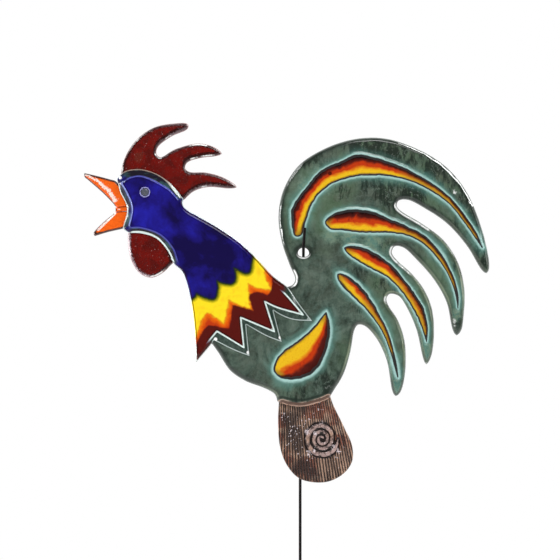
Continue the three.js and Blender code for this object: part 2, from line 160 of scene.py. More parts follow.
class RoosterColours(bpy.types.PropertyGroup):
    """Colours of the glazes, the clay and the steel."""
    green: tint("Green", "Green glaze", 74, 90, 80)
    green_dark: tint("Dark green", "Green glaze where it is thick", 33, 42, 36)
    fern: tint("Fern", "Green glaze where it lies clear", 92, 116, 88)
    green_light: tint("Light green", "Green glaze where it is thin", 104, 120, 108)
    smoke: tint("Smoke", "Green glaze that turned grey", 82, 84, 74)
    teal: tint("Teal", "Green glaze near a raised lip", 90, 140, 130)
    turquoise: tint("Turquoise", "Glaze that breaks on a raised lip", 166, 206, 200)
    line: tint("Line", "Dark line round a pool", 17, 12, 13)
    # Pale flecks of worn glaze; on the body's rim also a painted highlight
    worn_and_highlight: tint("Worn", "Glaze worn thin on an edge", 152, 160, 153)
    reed: tint("Reed", "Green glaze that breaks on a feather's edge", 142, 154, 126)
    wine: tint("Wine", "Dark side of a flame pool", 84, 28, 22)
    flame: tint("Flame", "Red in a flame pool", 192, 58, 18)
    amber: tint("Amber", "Orange in a flame pool", 226, 132, 26)
    gold: tint("Gold", "Yellow side of a flame pool", 234, 188, 32)
    ochre: tint("Ochre", "Gold that thins out at a pool's edge", 136, 100, 30)
    straw: tint("Straw", "Gold where a pool is narrow", 182, 140, 38)
    rust: tint("Rust", "Red that thins out at a pool's end", 134, 76, 22)
    soot: tint("Soot", "Dark side of a pool that thins out", 82, 40, 14)
    cobalt: tint("Cobalt", "Blue neck glaze", 30, 23, 116)
    cobalt_dark: tint("Dark cobalt", "Blue neck glaze where it is thick", 21, 14, 68)
    cobalt_light: tint("Light cobalt", "Blue neck glaze where it is thin", 37, 34, 162)
    olive: tint("Olive", "Blue running into yellow", 138, 136, 16)
    yellow: tint("Yellow", "Yellow neck glaze", 255, 224, 38)
    orange: tint("Orange", "Orange neck glaze", 234, 102, 14)
    red: tint("Red", "Red neck glaze", 88, 22, 18)
    oxblood: tint("Oxblood", "Comb and wattle", 112, 19, 13)
    oxblood_deep: tint("Deep oxblood", "Comb and wattle where the glaze is thick", 88, 18, 14)
    oxblood_dark: tint("Dark oxblood", "Comb and wattle near the edge", 38, 14, 13)
    # Pale specks; on the rim of the comb and wattle also a painted highlight
    speck_and_highlight: tint("Speck", "Pale specks in the oxblood glaze", 196, 150, 146)
    crumb: tint("Crumb", "Crumbs of pale glaze on the wattle's rim", 186, 164, 172)
    # Painted glints: white specks that stand in for highlights on the bark
    painted_glint: tint("Frost", "Glassy glints on the bark", 222, 208, 212)
    beak: tint("Beak", "Beak", 246, 102, 26)
    beak_dark: tint("Dark beak", "Beak at its edges", 66, 30, 22)
    slope: tint("Slope", "Sloping edge of the head on the body", 34, 54, 46)
    ink: tint("Ink", "Sloping edge of the head elsewhere", 30, 27, 38)
    haze: tint("Haze", "Blue glaze that breaks on the head's edge", 150, 164, 206)
    iris: tint("Iris", "Thin blue glaze on the head's edge", 106, 112, 218)
    tarn: tint("Tarn", "Dark teal where glaze ran together", 52, 82, 84)
    # Also the painted highlight along the head's free edge
    pale: tint("Pale", "Glaze that breaks on the head's edge", 222, 238, 234)
    # Painted highlight: the white of glints, lines and drops on the glazes
    painted_highlight: tint("Gleam", "Clear drops of glaze", 250, 252, 250)
    lilac: tint("Lilac", "Ring of the eye", 150, 148, 208)
    pupil: tint("Pupil", "Bead of the eye", 88, 92, 102)
    bark: tint("Bark", "Ridges of the stump", 172, 137, 115)
    bark_red: tint("Red bark", "Iron-red wash on the stump", 132, 74, 52)
    umber: tint("Umber", "Bark colour at the body's foot", 84, 57, 43)
    ash: tint("Ash", "Coil of the knot", 178, 150, 144)
    bark_dark: tint("Dark bark", "Grooves of the stump", 32, 17, 12)
    blush: tint("Blush", "Clay that shows through thin glaze", 188, 156, 138)
    # Painted highlight: the beak's white streaks
    sheen: tint("Sheen", "Crazed streaks on the beak", 255, 236, 226)
    moss: tint("Moss", "Blue and yellow mixed", 44, 56, 12)
    clay: tint("Clay", "Bare clay behind the figure", 164, 128, 104)
    steel: tint("Steel", "Support rod", 26, 24, 24)


class RoosterStage(bpy.types.PropertyGroup):
    """Camera, light and floor."""
    camera_distance: length("Camera distance", "From the camera to the figure's front", 2000)
    view_width: length("View width", "Width of the picture at the figure", 616)
    view_across: bpy.props.FloatProperty(
        name="View across", description="Middle of the picture, across", unit="LENGTH", default=-0.02235)
    view_height: bpy.props.FloatProperty(
        name="View height", description="Middle of the picture, above the ground", unit="LENGTH",
        default=0.3506)
    key_power: power("Key light", "Lamp on the upper left", 26)
    fill_power: power("Fill light", "Lamp on the right", 11)
    front_power: power("Front light", "Lamp above the camera", 12)
    rim_power: power("Rim lights", "Lamps just behind the figure that shine on its rims", 22)
    ambient: bpy.props.FloatProperty(
        name="Ambient", description="Even light of the room", min=0, default=0.18)


def sizes():
    """The sizes in millimetres, by name."""
    group = bpy.context.scene.rooster_sizes
    return SimpleNamespace(**{key: getattr(group, key) / MM for key in RoosterSizes.__annotations__})


def colours():
    """The colours in linear light, by name."""
    group = bpy.context.scene.rooster_colours
    return SimpleNamespace(**{key: tuple(getattr(group, key)) for key in RoosterColours.__annotations__})


def scaled(colour, share):
    """A colour with that share of its light."""
    return tuple(share * level for level in colour)


# Finishes: shader nodes written as expressions

class Field:
    """A value, colour, vector or shader of a node tree. Arithmetic on values adds Math nodes."""

    def __init__(self, nodes, socket):
        self.nodes = nodes
        self.socket = socket

    def math(self, operation, first, second):
        return self.nodes.node("Math", {"operation": operation}, {0: first, 1: second})

    def __add__(self, other):
        return self.math("ADD", self, other)

    def __radd__(self, other):
        return self.math("ADD", other, self)

    def __sub__(self, other):
        return self.math("SUBTRACT", self, other)

    def __rsub__(self, other):
        return self.math("SUBTRACT", other, self)

    def __mul__(self, other):
        return self.math("MULTIPLY", self, other)

    def __rmul__(self, other):
        return self.math("MULTIPLY", other, self)


class Nodes:
    """A node tree whose nodes come from expressions."""

    def __init__(self, tree):
        self.tree = tree
        tree.nodes.clear()

    def node(self, kind, settings=None, inputs=None, output=0):
        """Adds a node: its settings first, then the values or links of its sockets; gives one output."""
        node = self.tree.nodes.new("ShaderNode" + kind)
        settings = dict(settings or {})
        stops = settings.pop("stops", None)
        for key, value in settings.items():
            setattr(node, key, value)
        if stops:
            elements = node.color_ramp.elements
            while len(elements) < len(stops):
                elements.new(0.5)
            for element, (position, colour) in zip(elements, stops):
                element.position = position
                element.color = (*colour, 1)
        for key, value in (inputs or {}).items():
            self.feed(node.inputs[key], value)
        return Field(self, node.outputs[output]) if node.outputs else None

    def feed(self, socket, value):
        if isinstance(value, Field):
            self.tree.links.new(value.socket, socket)
        elif socket.type == "RGBA":
            socket.default_value = (*value, 1)
        else:
            socket.default_value = value

    def step(self, value, low, high):
        """Smooth change from 0 at low to 1 at high."""
        settings = {"interpolation_type": "SMOOTHSTEP"}
        return self.node("MapRange", settings, {0: value, 1: low, 2: high, 3: 0.0, 4: 1.0})

    def rays(self):
        """1 for a ray from the camera, from gloss and through glass, and 0 for any other."""
        names = ("Is Camera Ray", "Is Glossy Ray", "Is Transmission Ray")
        return [self.node("LightPath", output=name) for name in names]


class Finish(Nodes):
    """One procedural material with a Principled shader and that shader's uniform values."""

    def __init__(self, name, **uniform):
        self.material = bpy.data.materials.new(name)
        self.material.use_nodes = True
        super().__init__(self.material.node_tree)
        self.uniform = {key.replace("_", " "): value for key, value in uniform.items()}
        self.place = self.node("TexCoord", output="Object")

    def shader(self, colour, roughness, **others):
        inputs = {"Base Color": colour, "Roughness": roughness} | self.uniform | others
        return self.node("BsdfPrincipled", {}, inputs)

    def surface(self, shader):
        self.node("OutputMaterial", {}, {"Surface": shader})
        return self.material

    def shade(self, colour, roughness, normal):
        return self.surface(self.shader(colour, roughness, Normal=normal))

    def trait(self, name):
        """A value that was measured on the mesh's vertices."""
        settings = {"attribute_type": "GEOMETRY", "attribute_name": name}
        return self.node("Attribute", settings, output="Fac")

    def stretched(self, x, y, z):
        """Place on the object with a scale of its own in each direction."""
        return self.node("VectorMath", {"operation": "MULTIPLY"}, {0: self.place, 1: (x, y, z)})

    def noise(self, scale, detail=3.0, roughness=0.5, distortion=0.0, place=None):
        inputs = {"Vector": place or self.place, "Scale": scale, "Detail": detail,
                  "Roughness": roughness, "Distortion": distortion}
        return self.node("TexNoise", {"noise_dimensions": "3D"}, inputs)

    def cells(self, scale):
        inputs = {"Vector": self.place, "Scale": scale}
        return self.node("TexVoronoi", {"feature": "F1"}, inputs, output="Distance")

    def near(self, value, middle, width):
        """1 at the middle, falling smoothly to 0 at that width on both sides."""
        return self.step(value, middle - width, middle) * (1 - self.step(value, middle, middle + width))

    def blend(self, share, first, second, mode="MIX"):
        settings = {"data_type": "RGBA", "blend_type": mode, "clamp_factor": True}
        return self.node("Mix", settings, {0: share, 6: first, 7: second}, output=2)

    def ramp(self, value, *stops):
        return self.node("ValToRGB", {"stops": stops}, {0: value})

    def bump(self, height, depth):
        inputs = {"Height": height, "Strength": 1.0, "Distance": depth * MM}
        return self.node("Bump", {}, inputs, output="Normal")


def bare_clay(f, c):
    """Colour and relief of unglazed stoneware with fine grog."""
    grog = f.noise(900, 4, 0.7)
    cloud = f.noise(40, 4)
    specks = 1 - f.step(f.cells(420), 0.12, 0.3)
    dark = scaled(c.clay, 0.45)
    colour = f.blend(f.step(grog * 0.6 + cloud * 0.4, 0.38, 0.62), dark, c.clay)
    colour = f.blend(specks * 0.6, colour, dark)
    return colour, grog


def with_back(f, c, colour, roughness, relief, depth):
    """A glazed front, and bare clay behind it up to a wavering line of glaze round the edge."""
    bare, grog = bare_clay(f, c)
    share = f.step(f.trait("bare") + f.noise(90, 3) * 0.5, 1.0, 1.16)
    colour = f.blend(share, colour, bare)
    roughness = roughness * (1 - share) + share * 0.82
    relief = relief * (1 - share) + grog * share
    return f.shade(colour, roughness, f.bump(relief, depth))


def green_glaze():
    """Green glaze of the body: cloudy, dark where it is thick, turquoise on the raised lips, with painted
    highlights.
    """
    c = colours()
    f = Finish("green_glaze", IOR=1.5)
    streaks = f.noise(1.0, 5, 0.66, 0.8, f.stretched(150, 150, 70))
    cloud = f.noise(34, 6, 0.68, 0.9)
    mottle = f.noise(170, 6, 0.74)
    fine = f.noise(620, 3, 0.6)
    drape = f.noise(1.0, 5, 0.66, 0.4, f.stretched(140, 140, 42))
    blots = f.step(f.noise(70, 6, 0.78, 1.1), 0.52, 0.64)
    thick = f.trait("thick")
    clear = f.step(f.noise(20, 3, 0.5, 0.4), 0.36, 0.6) * f.trait("fern")
    # Cloudy, smoky and thick glaze
    tone = cloud * 0.56 + streaks * 0.22 + mottle * 0.22
    colour = f.ramp(tone, (0.36, c.green_dark), (0.49, c.green), (0.63, c.green_light))
    colour = f.blend(clear * 0.6, colour, c.fern)
    smoky = f.step(f.noise(48, 5, 0.68, 0.8), 0.47, 0.6)
    colour = f.blend(smoky * (0.25 + thick * 0.4), colour, c.smoke)
    deep = f.step(thick * 0.9 + (drape - 0.5) * 3.4 + (mottle - 0.5) * 0.7, 0.2, 0.75)
    colour = f.blend(deep * f.step(thick, 0.05, 0.45) * 0.92, colour, c.green_dark)
    colour = f.blend(blots * (0.16 + thick * 0.5), colour, c.green_dark)
    scrapes = f.step(f.noise(1.0, 6, 0.78, 1.0, f.stretched(130, 130, 90)), 0.56, 0.6)
    colour = f.blend(scrapes * (0.12 + thick * 0.5), colour, c.green_light)
    flecks = f.step(f.noise(260, 5, 0.75, 0.6) + thick * 0.05, 0.62, 0.68)
    colour = f.blend(flecks * thick * 0.5, colour, c.worn_and_highlight)
    # Near the rim and round the pools
    rim = f.trait("rim")
    halo = f.trait("halo") + (mottle - 0.5) * 2.0 + (cloud - 0.5) * 1.6
    light_rim = f.trait("light_rim")
    banded = (1 - f.step(rim + (cloud - 0.5) * 6, 2.6, 7.5)) * (0.88 - light_rim * 0.7)
    colour = f.blend(banded, colour, c.green_dark)
    colour = f.blend((1 - f.step(halo, 2.0, 12.0)) * f.step(cloud, 0.4, 0.6) * 0.4, colour, c.teal)
    colour = f.blend((1 - f.step(halo, 1.0, 7.0)) * 0.55, colour, c.teal)
    glow = f.step(f.trait("glow") + (mottle - 0.5) * 1.4, 0.2, 0.9) * f.step(rim, 1.0, 4.0)
    colour = f.blend(glow * 0.65, colour, f.blend(f.step(mottle, 0.4, 0.6) * 0.6, c.teal, c.reed))
    breaking = f.near(rim + (cloud - 0.5) * 3.5 + (mottle - 0.5) * 1.5, 2.3, 1.7)
    colour = f.blend(breaking * light_rim * 0.65, colour, c.reed)
    colour = f.blend((1 - f.step(halo, 0.9, 3.8)) * 0.95, colour, c.turquoise)
    colour = f.blend(1 - f.step(f.trait("halo") + (fine - 0.5) * 0.5, 0.3, 1.1), colour, c.line)
    # Pale line on the outermost rim: glaze broken thin there, and a painted highlight
    colour = f.blend((1 - f.step(rim + (mottle - 0.5) * 1.2, 0.3, 1.1)) * 0.3, colour, c.worn_and_highlight)
    # Along the stump, where the clay shows through
    foot = f.trait("foot")
    lane = foot + (cloud - 0.5) * 2.2 + (mottle - 0.5) * 0.8
    colour = f.blend(f.near(lane, 7.4, 2.6) * 0.85, colour, c.green_dark)
    colour = f.blend(1 - f.step(lane, 3.6, 5.0), colour, c.umber)
    colour = f.blend(f.near(lane, 4.9, 1.1) * f.step(cloud, 0.38, 0.52) * 0.75, colour, c.blush)
    colour = f.blend((1 - f.step(lane, 0.9, 1.8)) * f.step(mottle, 0.32, 0.46), colour, c.blush)
    # Painted highlights: white lines along rims, a white crescent in the hole and white spots
    painted_highlight = f.trait("painted_highlight") + (mottle - 0.5) * 0.9
    colour = f.blend(f.near(rim, 2.1, 1.7) * f.step(painted_highlight, 0.15, 0.5), colour, c.painted_highlight)
    colour = f.blend(f.trait("hole_highlight"), colour, c.painted_highlight)
    shine = f.trait("shine")
    highlight_spots = f.step(shine, 0.1, 0.4) * f.step(shine + (mottle - 0.5) * 2.4, 0.2, 0.9)
    colour = f.blend(highlight_spots, colour, c.painted_highlight)
    roughness = 0.06 + f.step(mottle, 0.35, 0.75) * f.step(rim, 2.0, 5.0) * 0.16
    roughness = roughness + (1 - f.step(f.trait("halo"), 0.4, 1.4)) * 0.6
    relief = mottle * 0.4 + streaks * 0.4 + fine * 0.2
    return with_back(f, c, colour, roughness, relief, 0.2)


def flame_glaze():
    """Glaze of the pools, from a dark side over red to gold, and thinner where a pool is narrow."""
    c = colours()
    f = Finish("flame_glaze", IOR=1.52)
    run = f.noise(90, 1.5, 0.5, 0.7)
    fine = f.noise(520, 4, 0.6)
    swirl = f.noise(60, 2, 0.5, 1.0)
    thin = f.trait("thin")
    blaze = f.trait("blaze")
    stir = ((run - 0.5) * 0.26 + (swirl - 0.5) * 0.3) * f.trait("stir") + (fine - 0.5) * 0.07
    value = blaze + stir * (1 - f.step(blaze, 0.6, 0.9) * 0.75) - thin * 0.06
    dark = scaled(c.wine, 0.4)
    colour = f.ramp(value, (0.04, c.line), (0.13, dark), (0.26, c.wine), (0.4, c.flame), (0.53, c.flame),
                    (0.63, c.amber), (0.73, c.gold), (0.85, c.gold), (0.95, c.ochre), (1.0, dark))
    colour = f.blend(f.step(fine, 0.5, 0.7) * 0.35, colour, c.amber, "MULTIPLY")
    lean = f.ramp(value, (0.06, c.line), (0.2, c.soot), (0.36, c.rust), (0.52, c.straw), (0.86, c.straw),
                  (1.0, c.ochre))
    colour = f.blend(thin * 0.85, colour, lean)
    colour = f.blend(f.step(thin, 1.0, 2.0) * 0.6, colour, f.blend(f.step(value, 0.2, 0.5), c.soot, c.ochre))
    burnt = f.step(f.noise(95, 3, 0.55, 0.9), 0.53, 0.68) * f.near(value, 0.4, 0.16)
    colour = f.blend(burnt * 0.55, colour, c.wine)
    spot = 1 - f.step(f.trait("spot") + (fine - 0.5) * 1.5, 1.6, 3.0)
    colour = f.blend(spot * 0.85, colour, dark)
    ragged = (f.noise(190, 4, 0.65, 0.5) - 0.5) * (2.2 - f.step(thin, 0.0, 1.2) * 1.7)
    edge = f.trait("edge") + ragged - f.trait("shade") * 1.1
    colour = f.blend(1 - f.step(edge, 0.7, 1.6), colour, c.line)
    roughness = 0.07 + f.step(fine, 0.4, 0.7) * 0.08 + (1 - f.step(edge, 0.5, 1.6)) * 0.55
    return f.shade(colour, roughness, f.bump(run, 0.12))


def neck_colours(f, c, run, fine):
    """Blue, yellow, orange and red that run into each other across the neck's borders."""
    cloud = f.noise(24, 4, 0.55, 0.4) - f.trait("deep") * 0.17
    waver = (run - 0.5) * 2.4 + (fine - 0.5) * 0.8
    blue = f.ramp(cloud + (run - 0.5) * 0.22,
                  (0.39, c.cobalt_dark), (0.52, c.cobalt), (0.7, c.cobalt_light))
    first, second, third = (f.trait(f"border_{k}") + waver for k in (1, 2, 3))
    sun = f.blend(f.step(run, 0.46, 0.74) * 0.26, c.yellow, c.amber)
    fringe = f.ramp(f.step(first, -1.6, 7.2),
                    (0.0, c.cobalt_dark), (0.2, c.moss), (0.42, c.olive), (0.9, c.yellow))
    colour = f.blend(f.step(first, -1.6, -0.4), blue, fringe)
    colour = f.blend(f.step(first, 4.0, 7.5), colour, sun)
    ember = f.ramp(f.step(second + (run - 0.5) * 5, -1.4, 8.5),
                   (0.0, c.gold), (0.12, c.amber), (0.32, c.orange), (0.9, c.flame))
    colour = f.blend(f.step(second, -1.6, 0.6), colour, ember)
    wine = f.blend(f.step(fine, 0.4, 0.66) * 0.5, c.red, c.wine)
    return f.blend(f.step(third, -1.4, 0.8), colour, wine)


def bead_colour(f, c):
    """Pale glaze on the bead along the head's sloping edge, bluish where the edge isn't on the body."""
    return f.blend(f.trait("on_body"), f.blend(f.trait("ridge_blue"), c.haze, c.iris), c.pale)


def neck_glaze():
    """Glaze of the neck's four colours, with a light bead along its edge."""
    c = colours()
    f = Finish("neck_glaze", IOR=1.52)
    run = f.noise(130, 5, 0.62, 0.5)
    fine = f.noise(560, 3, 0.6)
    colour = neck_colours(f, c, run, fine)
    ridge = f.trait("ridge") + (run - 0.5) * 0.5
    light = f.trait("ridge_light")
    colour = f.blend(f.near(ridge, 1.7, 1.2) * light * 0.7, colour, c.line)
    colour = f.blend((1 - f.step(ridge, 0.4, 1.1)) * light, colour, bead_colour(f, c))
    roughness = 0.06 + f.step(fine, 0.45, 0.75) * 0.06
    return f.shade(colour, roughness, f.bump(run, 0.15))


def slope_glaze():
    """Glaze of the head's sloping edge, after what lies under it."""
    c = colours()
    f = Finish("head_rim_glaze", IOR=1.33)
    run = f.noise(130, 5, 0.62, 0.5)
    fine = f.noise(560, 3, 0.6)
    streaks = f.noise(1.0, 3, 0.6, 0.2, f.stretched(260, 260, 70))
    on_body = f.trait("on_body")
    foot = f.trait("rim") + (run - 0.5) * 0.5
    ridge = f.trait("ridge") + (run - 0.5) * 0.6
    pooled = f.step(f.noise(75, 4, 0.6, 0.5), 0.46, 0.62)
    slope = f.blend(on_body, f.blend(pooled * 0.8, c.ink, c.tarn),
                    f.blend(f.step(streaks, 0.42, 0.66) * 0.5, c.slope, c.green))
    slope = f.blend((1 - f.step(ridge, 1.0, 5.0)) * f.trait("hazy") * 0.7, slope, c.haze)
    slope = f.blend((1 - f.step(ridge, 0.5, 1.2)) * f.trait("ridge_light"), slope, bead_colour(f, c))
    kerb = f.blend(f.trait("foot_blush"), c.pale, c.blush)
    wide = f.trait("foot_wide")
    slope = f.blend((1 - f.step(foot, wide - 0.7, wide)) * f.trait("foot_light"), slope, kerb)
    free = neck_colours(f, c, run, fine)
    # On the head's free edge: a dark line, and outside it a thin white line of painted highlight
    free = f.blend(f.near(foot, 1.9, 1.3) * 0.85, free, c.oxblood_dark)
    free = f.blend((1 - f.step(foot, 0.4, 1.0)) * 0.75, free, c.pale)
    colour = f.blend(f.trait("laid"), free, slope)
    # Painted highlight: the drops of glaze are white
    colour = f.blend(f.step(f.trait("drip"), 0.25, 0.65), colour, c.painted_highlight)
    roughness = 0.06 + f.step(run, 0.4, 0.7) * 0.06
    return with_back(f, c, colour, roughness, run, 0.15)


def oxblood_glaze():
    """Speckled red glaze of the comb and the wattle."""
    c = colours()
    f = Finish("oxblood_glaze", IOR=1.5)
    cloud = f.noise(70, 5, 0.6, 0.4)
    fine = f.noise(900, 4, 0.65)
    dots = 1 - f.step(f.cells(330), 0.1, 0.24)
    sparse = f.step(f.noise(210, 2), 0.54, 0.62)
    rim = f.trait("rim")
    smudge = f.step(f.trait("smudge") + (cloud - 0.5) * 2.5, 0.4, 1.0) * f.step(f.trait("smudge"), 0.0, 0.5)
    colour = f.blend(f.step(cloud, 0.38, 0.6), c.oxblood_deep, c.oxblood)
    colour = f.blend(f.step(fine, 0.5, 0.68) * 0.3, colour, c.oxblood_dark)
    colour = f.blend(smudge * 0.3, colour, c.umber)
    # Painted shade: a dark band along the rim, wider on the edges that face the way given for each piece
    shaded = rim + (cloud - 0.5) * 2 - f.trait("under") * 2.4
    colour = f.blend((1 - f.step(shaded, 2.0, 4.4)) * 0.9, colour, c.oxblood_dark)
    colour = f.blend(dots * sparse * 0.4, colour, c.speck_and_highlight)
    inner = rim + (cloud - 0.5) * 3
    crumbs = f.step(f.noise(420, 4, 0.7) - f.step(inner, 0.4, 4.5) * 0.22, 0.33, 0.46)
    colour = f.blend(crumbs * (1 - f.step(inner, 2.4, 5.0)) * f.trait("crumbs") * 0.8, colour, c.crumb)
    # Painted highlight: white strips inside the rim at the shine places
    shine = f.step(f.trait("shine") + (f.noise(240, 3) - 0.5) * 1.2, 0.4, 0.8) * f.near(rim, 1.4, 1.1)
    colour = f.blend(shine, colour, c.painted_highlight)
    # Pale line on the outermost rim: glaze broken thin there, and a painted highlight
    colour = f.blend((1 - f.step(rim + (fine - 0.5) * 0.8, 0.3, 0.9)) * 0.4, colour, c.speck_and_highlight)
    roughness = 0.07 + f.step(fine, 0.42, 0.7) * f.step(rim, 2.0, 4.0) * 0.24
    relief = fine * 0.6 + dots * 0.4
    return with_back(f, c, colour, roughness, relief, 0.18)


def beak_glaze():
    """Orange glaze with dark edges and broken white streaks of painted highlight."""
    c = colours()
    f = Finish("orange_glaze", IOR=1.52)
    run = f.noise(160, 5, 0.62, 0.5)
    fine = f.noise(700, 4, 0.6)
    rim = f.trait("rim") + (run - 0.5) * 0.8
    colour = f.blend(f.step(run, 0.36, 0.66), c.beak, c.amber)
    colour = f.blend(f.step(fine, 0.5, 0.7) * 0.35, colour, c.flame)
    colour = f.blend(f.step(run, 0.2, 0.5), colour, c.beak)
    colour = f.blend(f.near(f.trait("seam"), 0.0, 0.7) * 0.6, colour, c.beak_dark)
    colour = f.blend(1 - f.step(rim - f.trait("outer") * 0.9, 0.8, 1.9), colour, c.beak_dark)
    # Painted highlight: a broken white streak along each piece's line
    broken = (f.noise(360, 5, 0.8, 1.2) - 0.5) * f.trait("broken") * 3.0
    streak_highlight = f.step(f.trait("sheen") * 1.15 + broken, 0.5, 0.8)
    colour = f.blend(streak_highlight * f.step(rim, 0.9, 1.5) * 0.95, colour, c.sheen)
    roughness = 0.07 + f.step(fine, 0.45, 0.7) * 0.1
    return with_back(f, c, colour, roughness, run * 0.7 + fine * 0.3, 0.3)


def eye_glaze(name, colour, shadow):
    """Mottled glaze of the eye's ring or bead."""
    f = Finish(name, IOR=1.5)
    fine = f.noise(900, 4, 0.65)
    cloud = f.noise(420, 3, 0.6)
    mixed = f.blend(f.step(fine, 0.46, 0.68) * 0.5, colour, shadow)
    mixed = f.blend(f.step(cloud, 0.5, 0.72) * 0.35, mixed, shadow)
    return f.shade(mixed, 0.12 + f.step(fine, 0.45, 0.7) * 0.12, f.bump(fine, 0.1))


def bark_clay():
    """Combed bark: light ridges over dark grooves, with iron-red and burnt patches and painted white glints.
    """
    c = colours()
    f = Finish("bark_clay", IOR=1.5)
    cloud = f.noise(60, 5, 0.62, 0.6)
    fine = f.noise(800, 5, 0.72)
    grain = f.noise(1.0, 5, 0.7, 0.4, f.stretched(520, 520, 90))
    ridge = f.trait("ridge") + (grain - 0.5) * 0.8 + (fine - 0.5) * 0.3
    red = f.step(cloud + f.trait("iron") * 0.4 - 0.1, 0.42, 0.6)
    ash = f.trait("ash")
    top = f.blend(ash, f.blend(red, c.bark, c.bark_red), c.ash)
    colour = f.blend(f.step(ridge, 0.22, 0.9), c.bark_dark, top)
    burnt = f.step(f.trait("burnt") + (cloud - 0.5) * 0.9 + (grain - 0.5) * 0.7, 0.2, 0.8)
    colour = f.blend(burnt * 0.75, colour, c.bark_dark)
    colour = f.blend(f.step(fine, 0.51, 0.64) * 0.5, colour, c.bark_dark)
    pits = f.step(f.noise(520, 3, 0.6, 0.6), 0.54, 0.62)
    colour = f.blend(pits * ash * 0.7, colour, c.bark_dark)
    # Painted glints: white specks, most of them at the glint places
    glint = f.step(f.noise(430, 2, 0.5) + f.trait("glint") * 0.12, 0.71, 0.76)
    colour = f.blend(glint * 0.9, colour, c.painted_glint)
    roughness = 0.24 + f.step(fine, 0.4, 0.66) * 0.3
    return with_back(f, c, colour, roughness, grain * 0.5 + fine * 0.5, 0.45)


def rod_steel():
    """Drawn steel with a dark scale and some rust."""
    c = colours()
    f = Finish("dark_steel", Metallic=0.85)
    scale = f.noise(300, 5, 0.7)
    drawn = f.noise(1.0, 3, 0.6, 0.0, f.stretched(1400, 1400, 60))
    colour = f.blend(f.step(drawn, 0.4, 0.7) * 0.7, c.steel, scaled(c.steel, 2.2))
    colour = f.blend(f.step(scale, 0.58, 0.74) * 0.6, colour, scaled(c.bark_red, 0.5))
    return f.shade(colour, 0.36 + f.step(scale, 0.4, 0.7) * 0.24, f.bump(scale * 0.5 + drawn * 0.5, 0.08))


# Outlines

def area(loop):
    """Area inside an outline, negative where the outline runs clockwise."""
    x, z = loop.T
    return 0.5 * np.sum(x * np.roll(z, -1) - np.roll(x, -1) * z)


@cache
def cad_loops(name):
    """Widest outlines of a CAD plate: the outer one first, anticlockwise from the front, then its holes."""
    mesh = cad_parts[name].data
    spots = [tuple(round(c / MM, 2) for c in v.co) for v in mesh.vertices]
    walls = [p for p in mesh.polygons if abs(p.normal.y) < 0.1]
    levels = Counter(spots[i][1] for wall in walls for i in wall.vertices)
    back = max(level for level, count in levels.items() if count > len(walls) / 10)
    onward = {}
    for wall in walls:
        ring = [spots[i] for i in wall.vertices]
        if max(spot[1] for spot in ring) > back:
            continue
        for start, end in zip(ring, ring[1:] + ring[:1]):
            if min(start[1], end[1]) == back:
                onward[start[0], start[2]] = (end[0], end[2])
    loops = []
    while onward:
        first = next(iter(onward))
        loop = [first]
        here = onward.pop(first)
        while here != first:
            loop.append(here)
            here = onward.pop(here)
        loops.append(np.array(loop))
    loops.sort(key=lambda loop: -abs(area(loop)))
    return [loop if (area(loop) > 0) == (i == 0) else loop[::-1] for i, loop in enumerate(loops)]


HOLE = np.mean([cad_loops("body_slab")[1].min(0), cad_loops("body_slab")[1].max(0)], axis=0)


def away_from(points, spot):
    """Distance of points from a spot that is given from the hanging hole."""
    return np.linalg.norm(points - HOLE - np.array(spot), axis=1)


def swell(distance, width):
    """1 at no distance, falling off softly with that width."""
    return np.exp(-(distance / width)**2)


def patches(points, places):
    """Soft patches, each given by x and z, radius and strength; the strongest counts."""
    level = np.zeros(len(points))
    for x, z, radius, strength in places:
        level = np.maximum(level, strength * swell(away_from(points, (x, z)), radius))
    return level


def curve(points, closed=False):
    """A smooth centripetal curve through points, as a fine polyline."""
    points = np.asarray(points, float)
    if closed:
        ends = np.concatenate([points[-1:], points, points[:2]])
    else:
        ends = np.concatenate([2 * points[:1] - points[1:2], points, 2 * points[-1:] - points[-2:-1]])
    p0, p1, p2, p3 = (ends[i:len(ends) - 3 + i] for i in range(4))
    d0, d1, d2 = (np.sqrt(np.linalg.norm(b - a, axis=1))[:, None] for a, b in ((p0, p1), (p1, p2), (p2, p3)))
    m1 = (p2 - p1) + d1 * ((p1 - p0) / d0 - (p2 - p0) / (d0 + d1))
    m2 = (p2 - p1) + d1 * ((p3 - p2) / d2 - (p3 - p1) / (d1 + d2))
    t = np.linspace(0, 1, CURVE_PARTS, endpoint=False)[None, :, None]
    p1, p2, m1, m2 = (q[:, None, :] for q in (p1, p2, m1, m2))
    line = ((2 * t**3 - 3 * t**2 + 1) * p1 + (t**3 - 2 * t**2 + t) * m1
            + (3 * t**2 - 2 * t**3) * p2 + (t**3 - t**2) * m2).reshape(-1, 2)
    return np.concatenate([line, points[:1] if closed else points[-1:]])


def even(line, step):
    """The line's points at an even spacing, both ends kept."""
    run = np.concatenate([[0], np.cumsum(np.linalg.norm(np.diff(line, axis=0), axis=1))])
    marks = np.linspace(0, run[-1], max(1, round(run[-1] / step)) + 1)
    return np.stack([np.interp(marks, run, line[:, k]) for k in (0, 1)], axis=1)


def smooth(loop):
    """A closed outline drawn smooth between its sharp corners."""
    before = loop - np.roll(loop, 1, axis=0)
    after = np.roll(loop, -1, axis=0) - loop
    turn = np.arctan2(before[:, 0] * after[:, 1] - before[:, 1] * after[:, 0], (before * after).sum(1))
    corners = np.flatnonzero(abs(turn) > math.radians(CORNER))
    if not len(corners):
        return even(curve(loop, closed=True), OUTLINE_STEP)[:-1]
    runs = []
    for start, end in zip(corners, np.roll(corners, -1)):
        count = (end - start - 1) % len(loop) + 2
        run = curve(loop[np.arange(start, start + count) % len(loop)])
        runs.append(even(run, OUTLINE_STEP)[:-1])
    return np.concatenate(runs)


@cache
def outlines(name):
    """Smooth outlines of a CAD plate, the outer one first."""
    return [smooth(loop) for loop in cad_loops(name)]


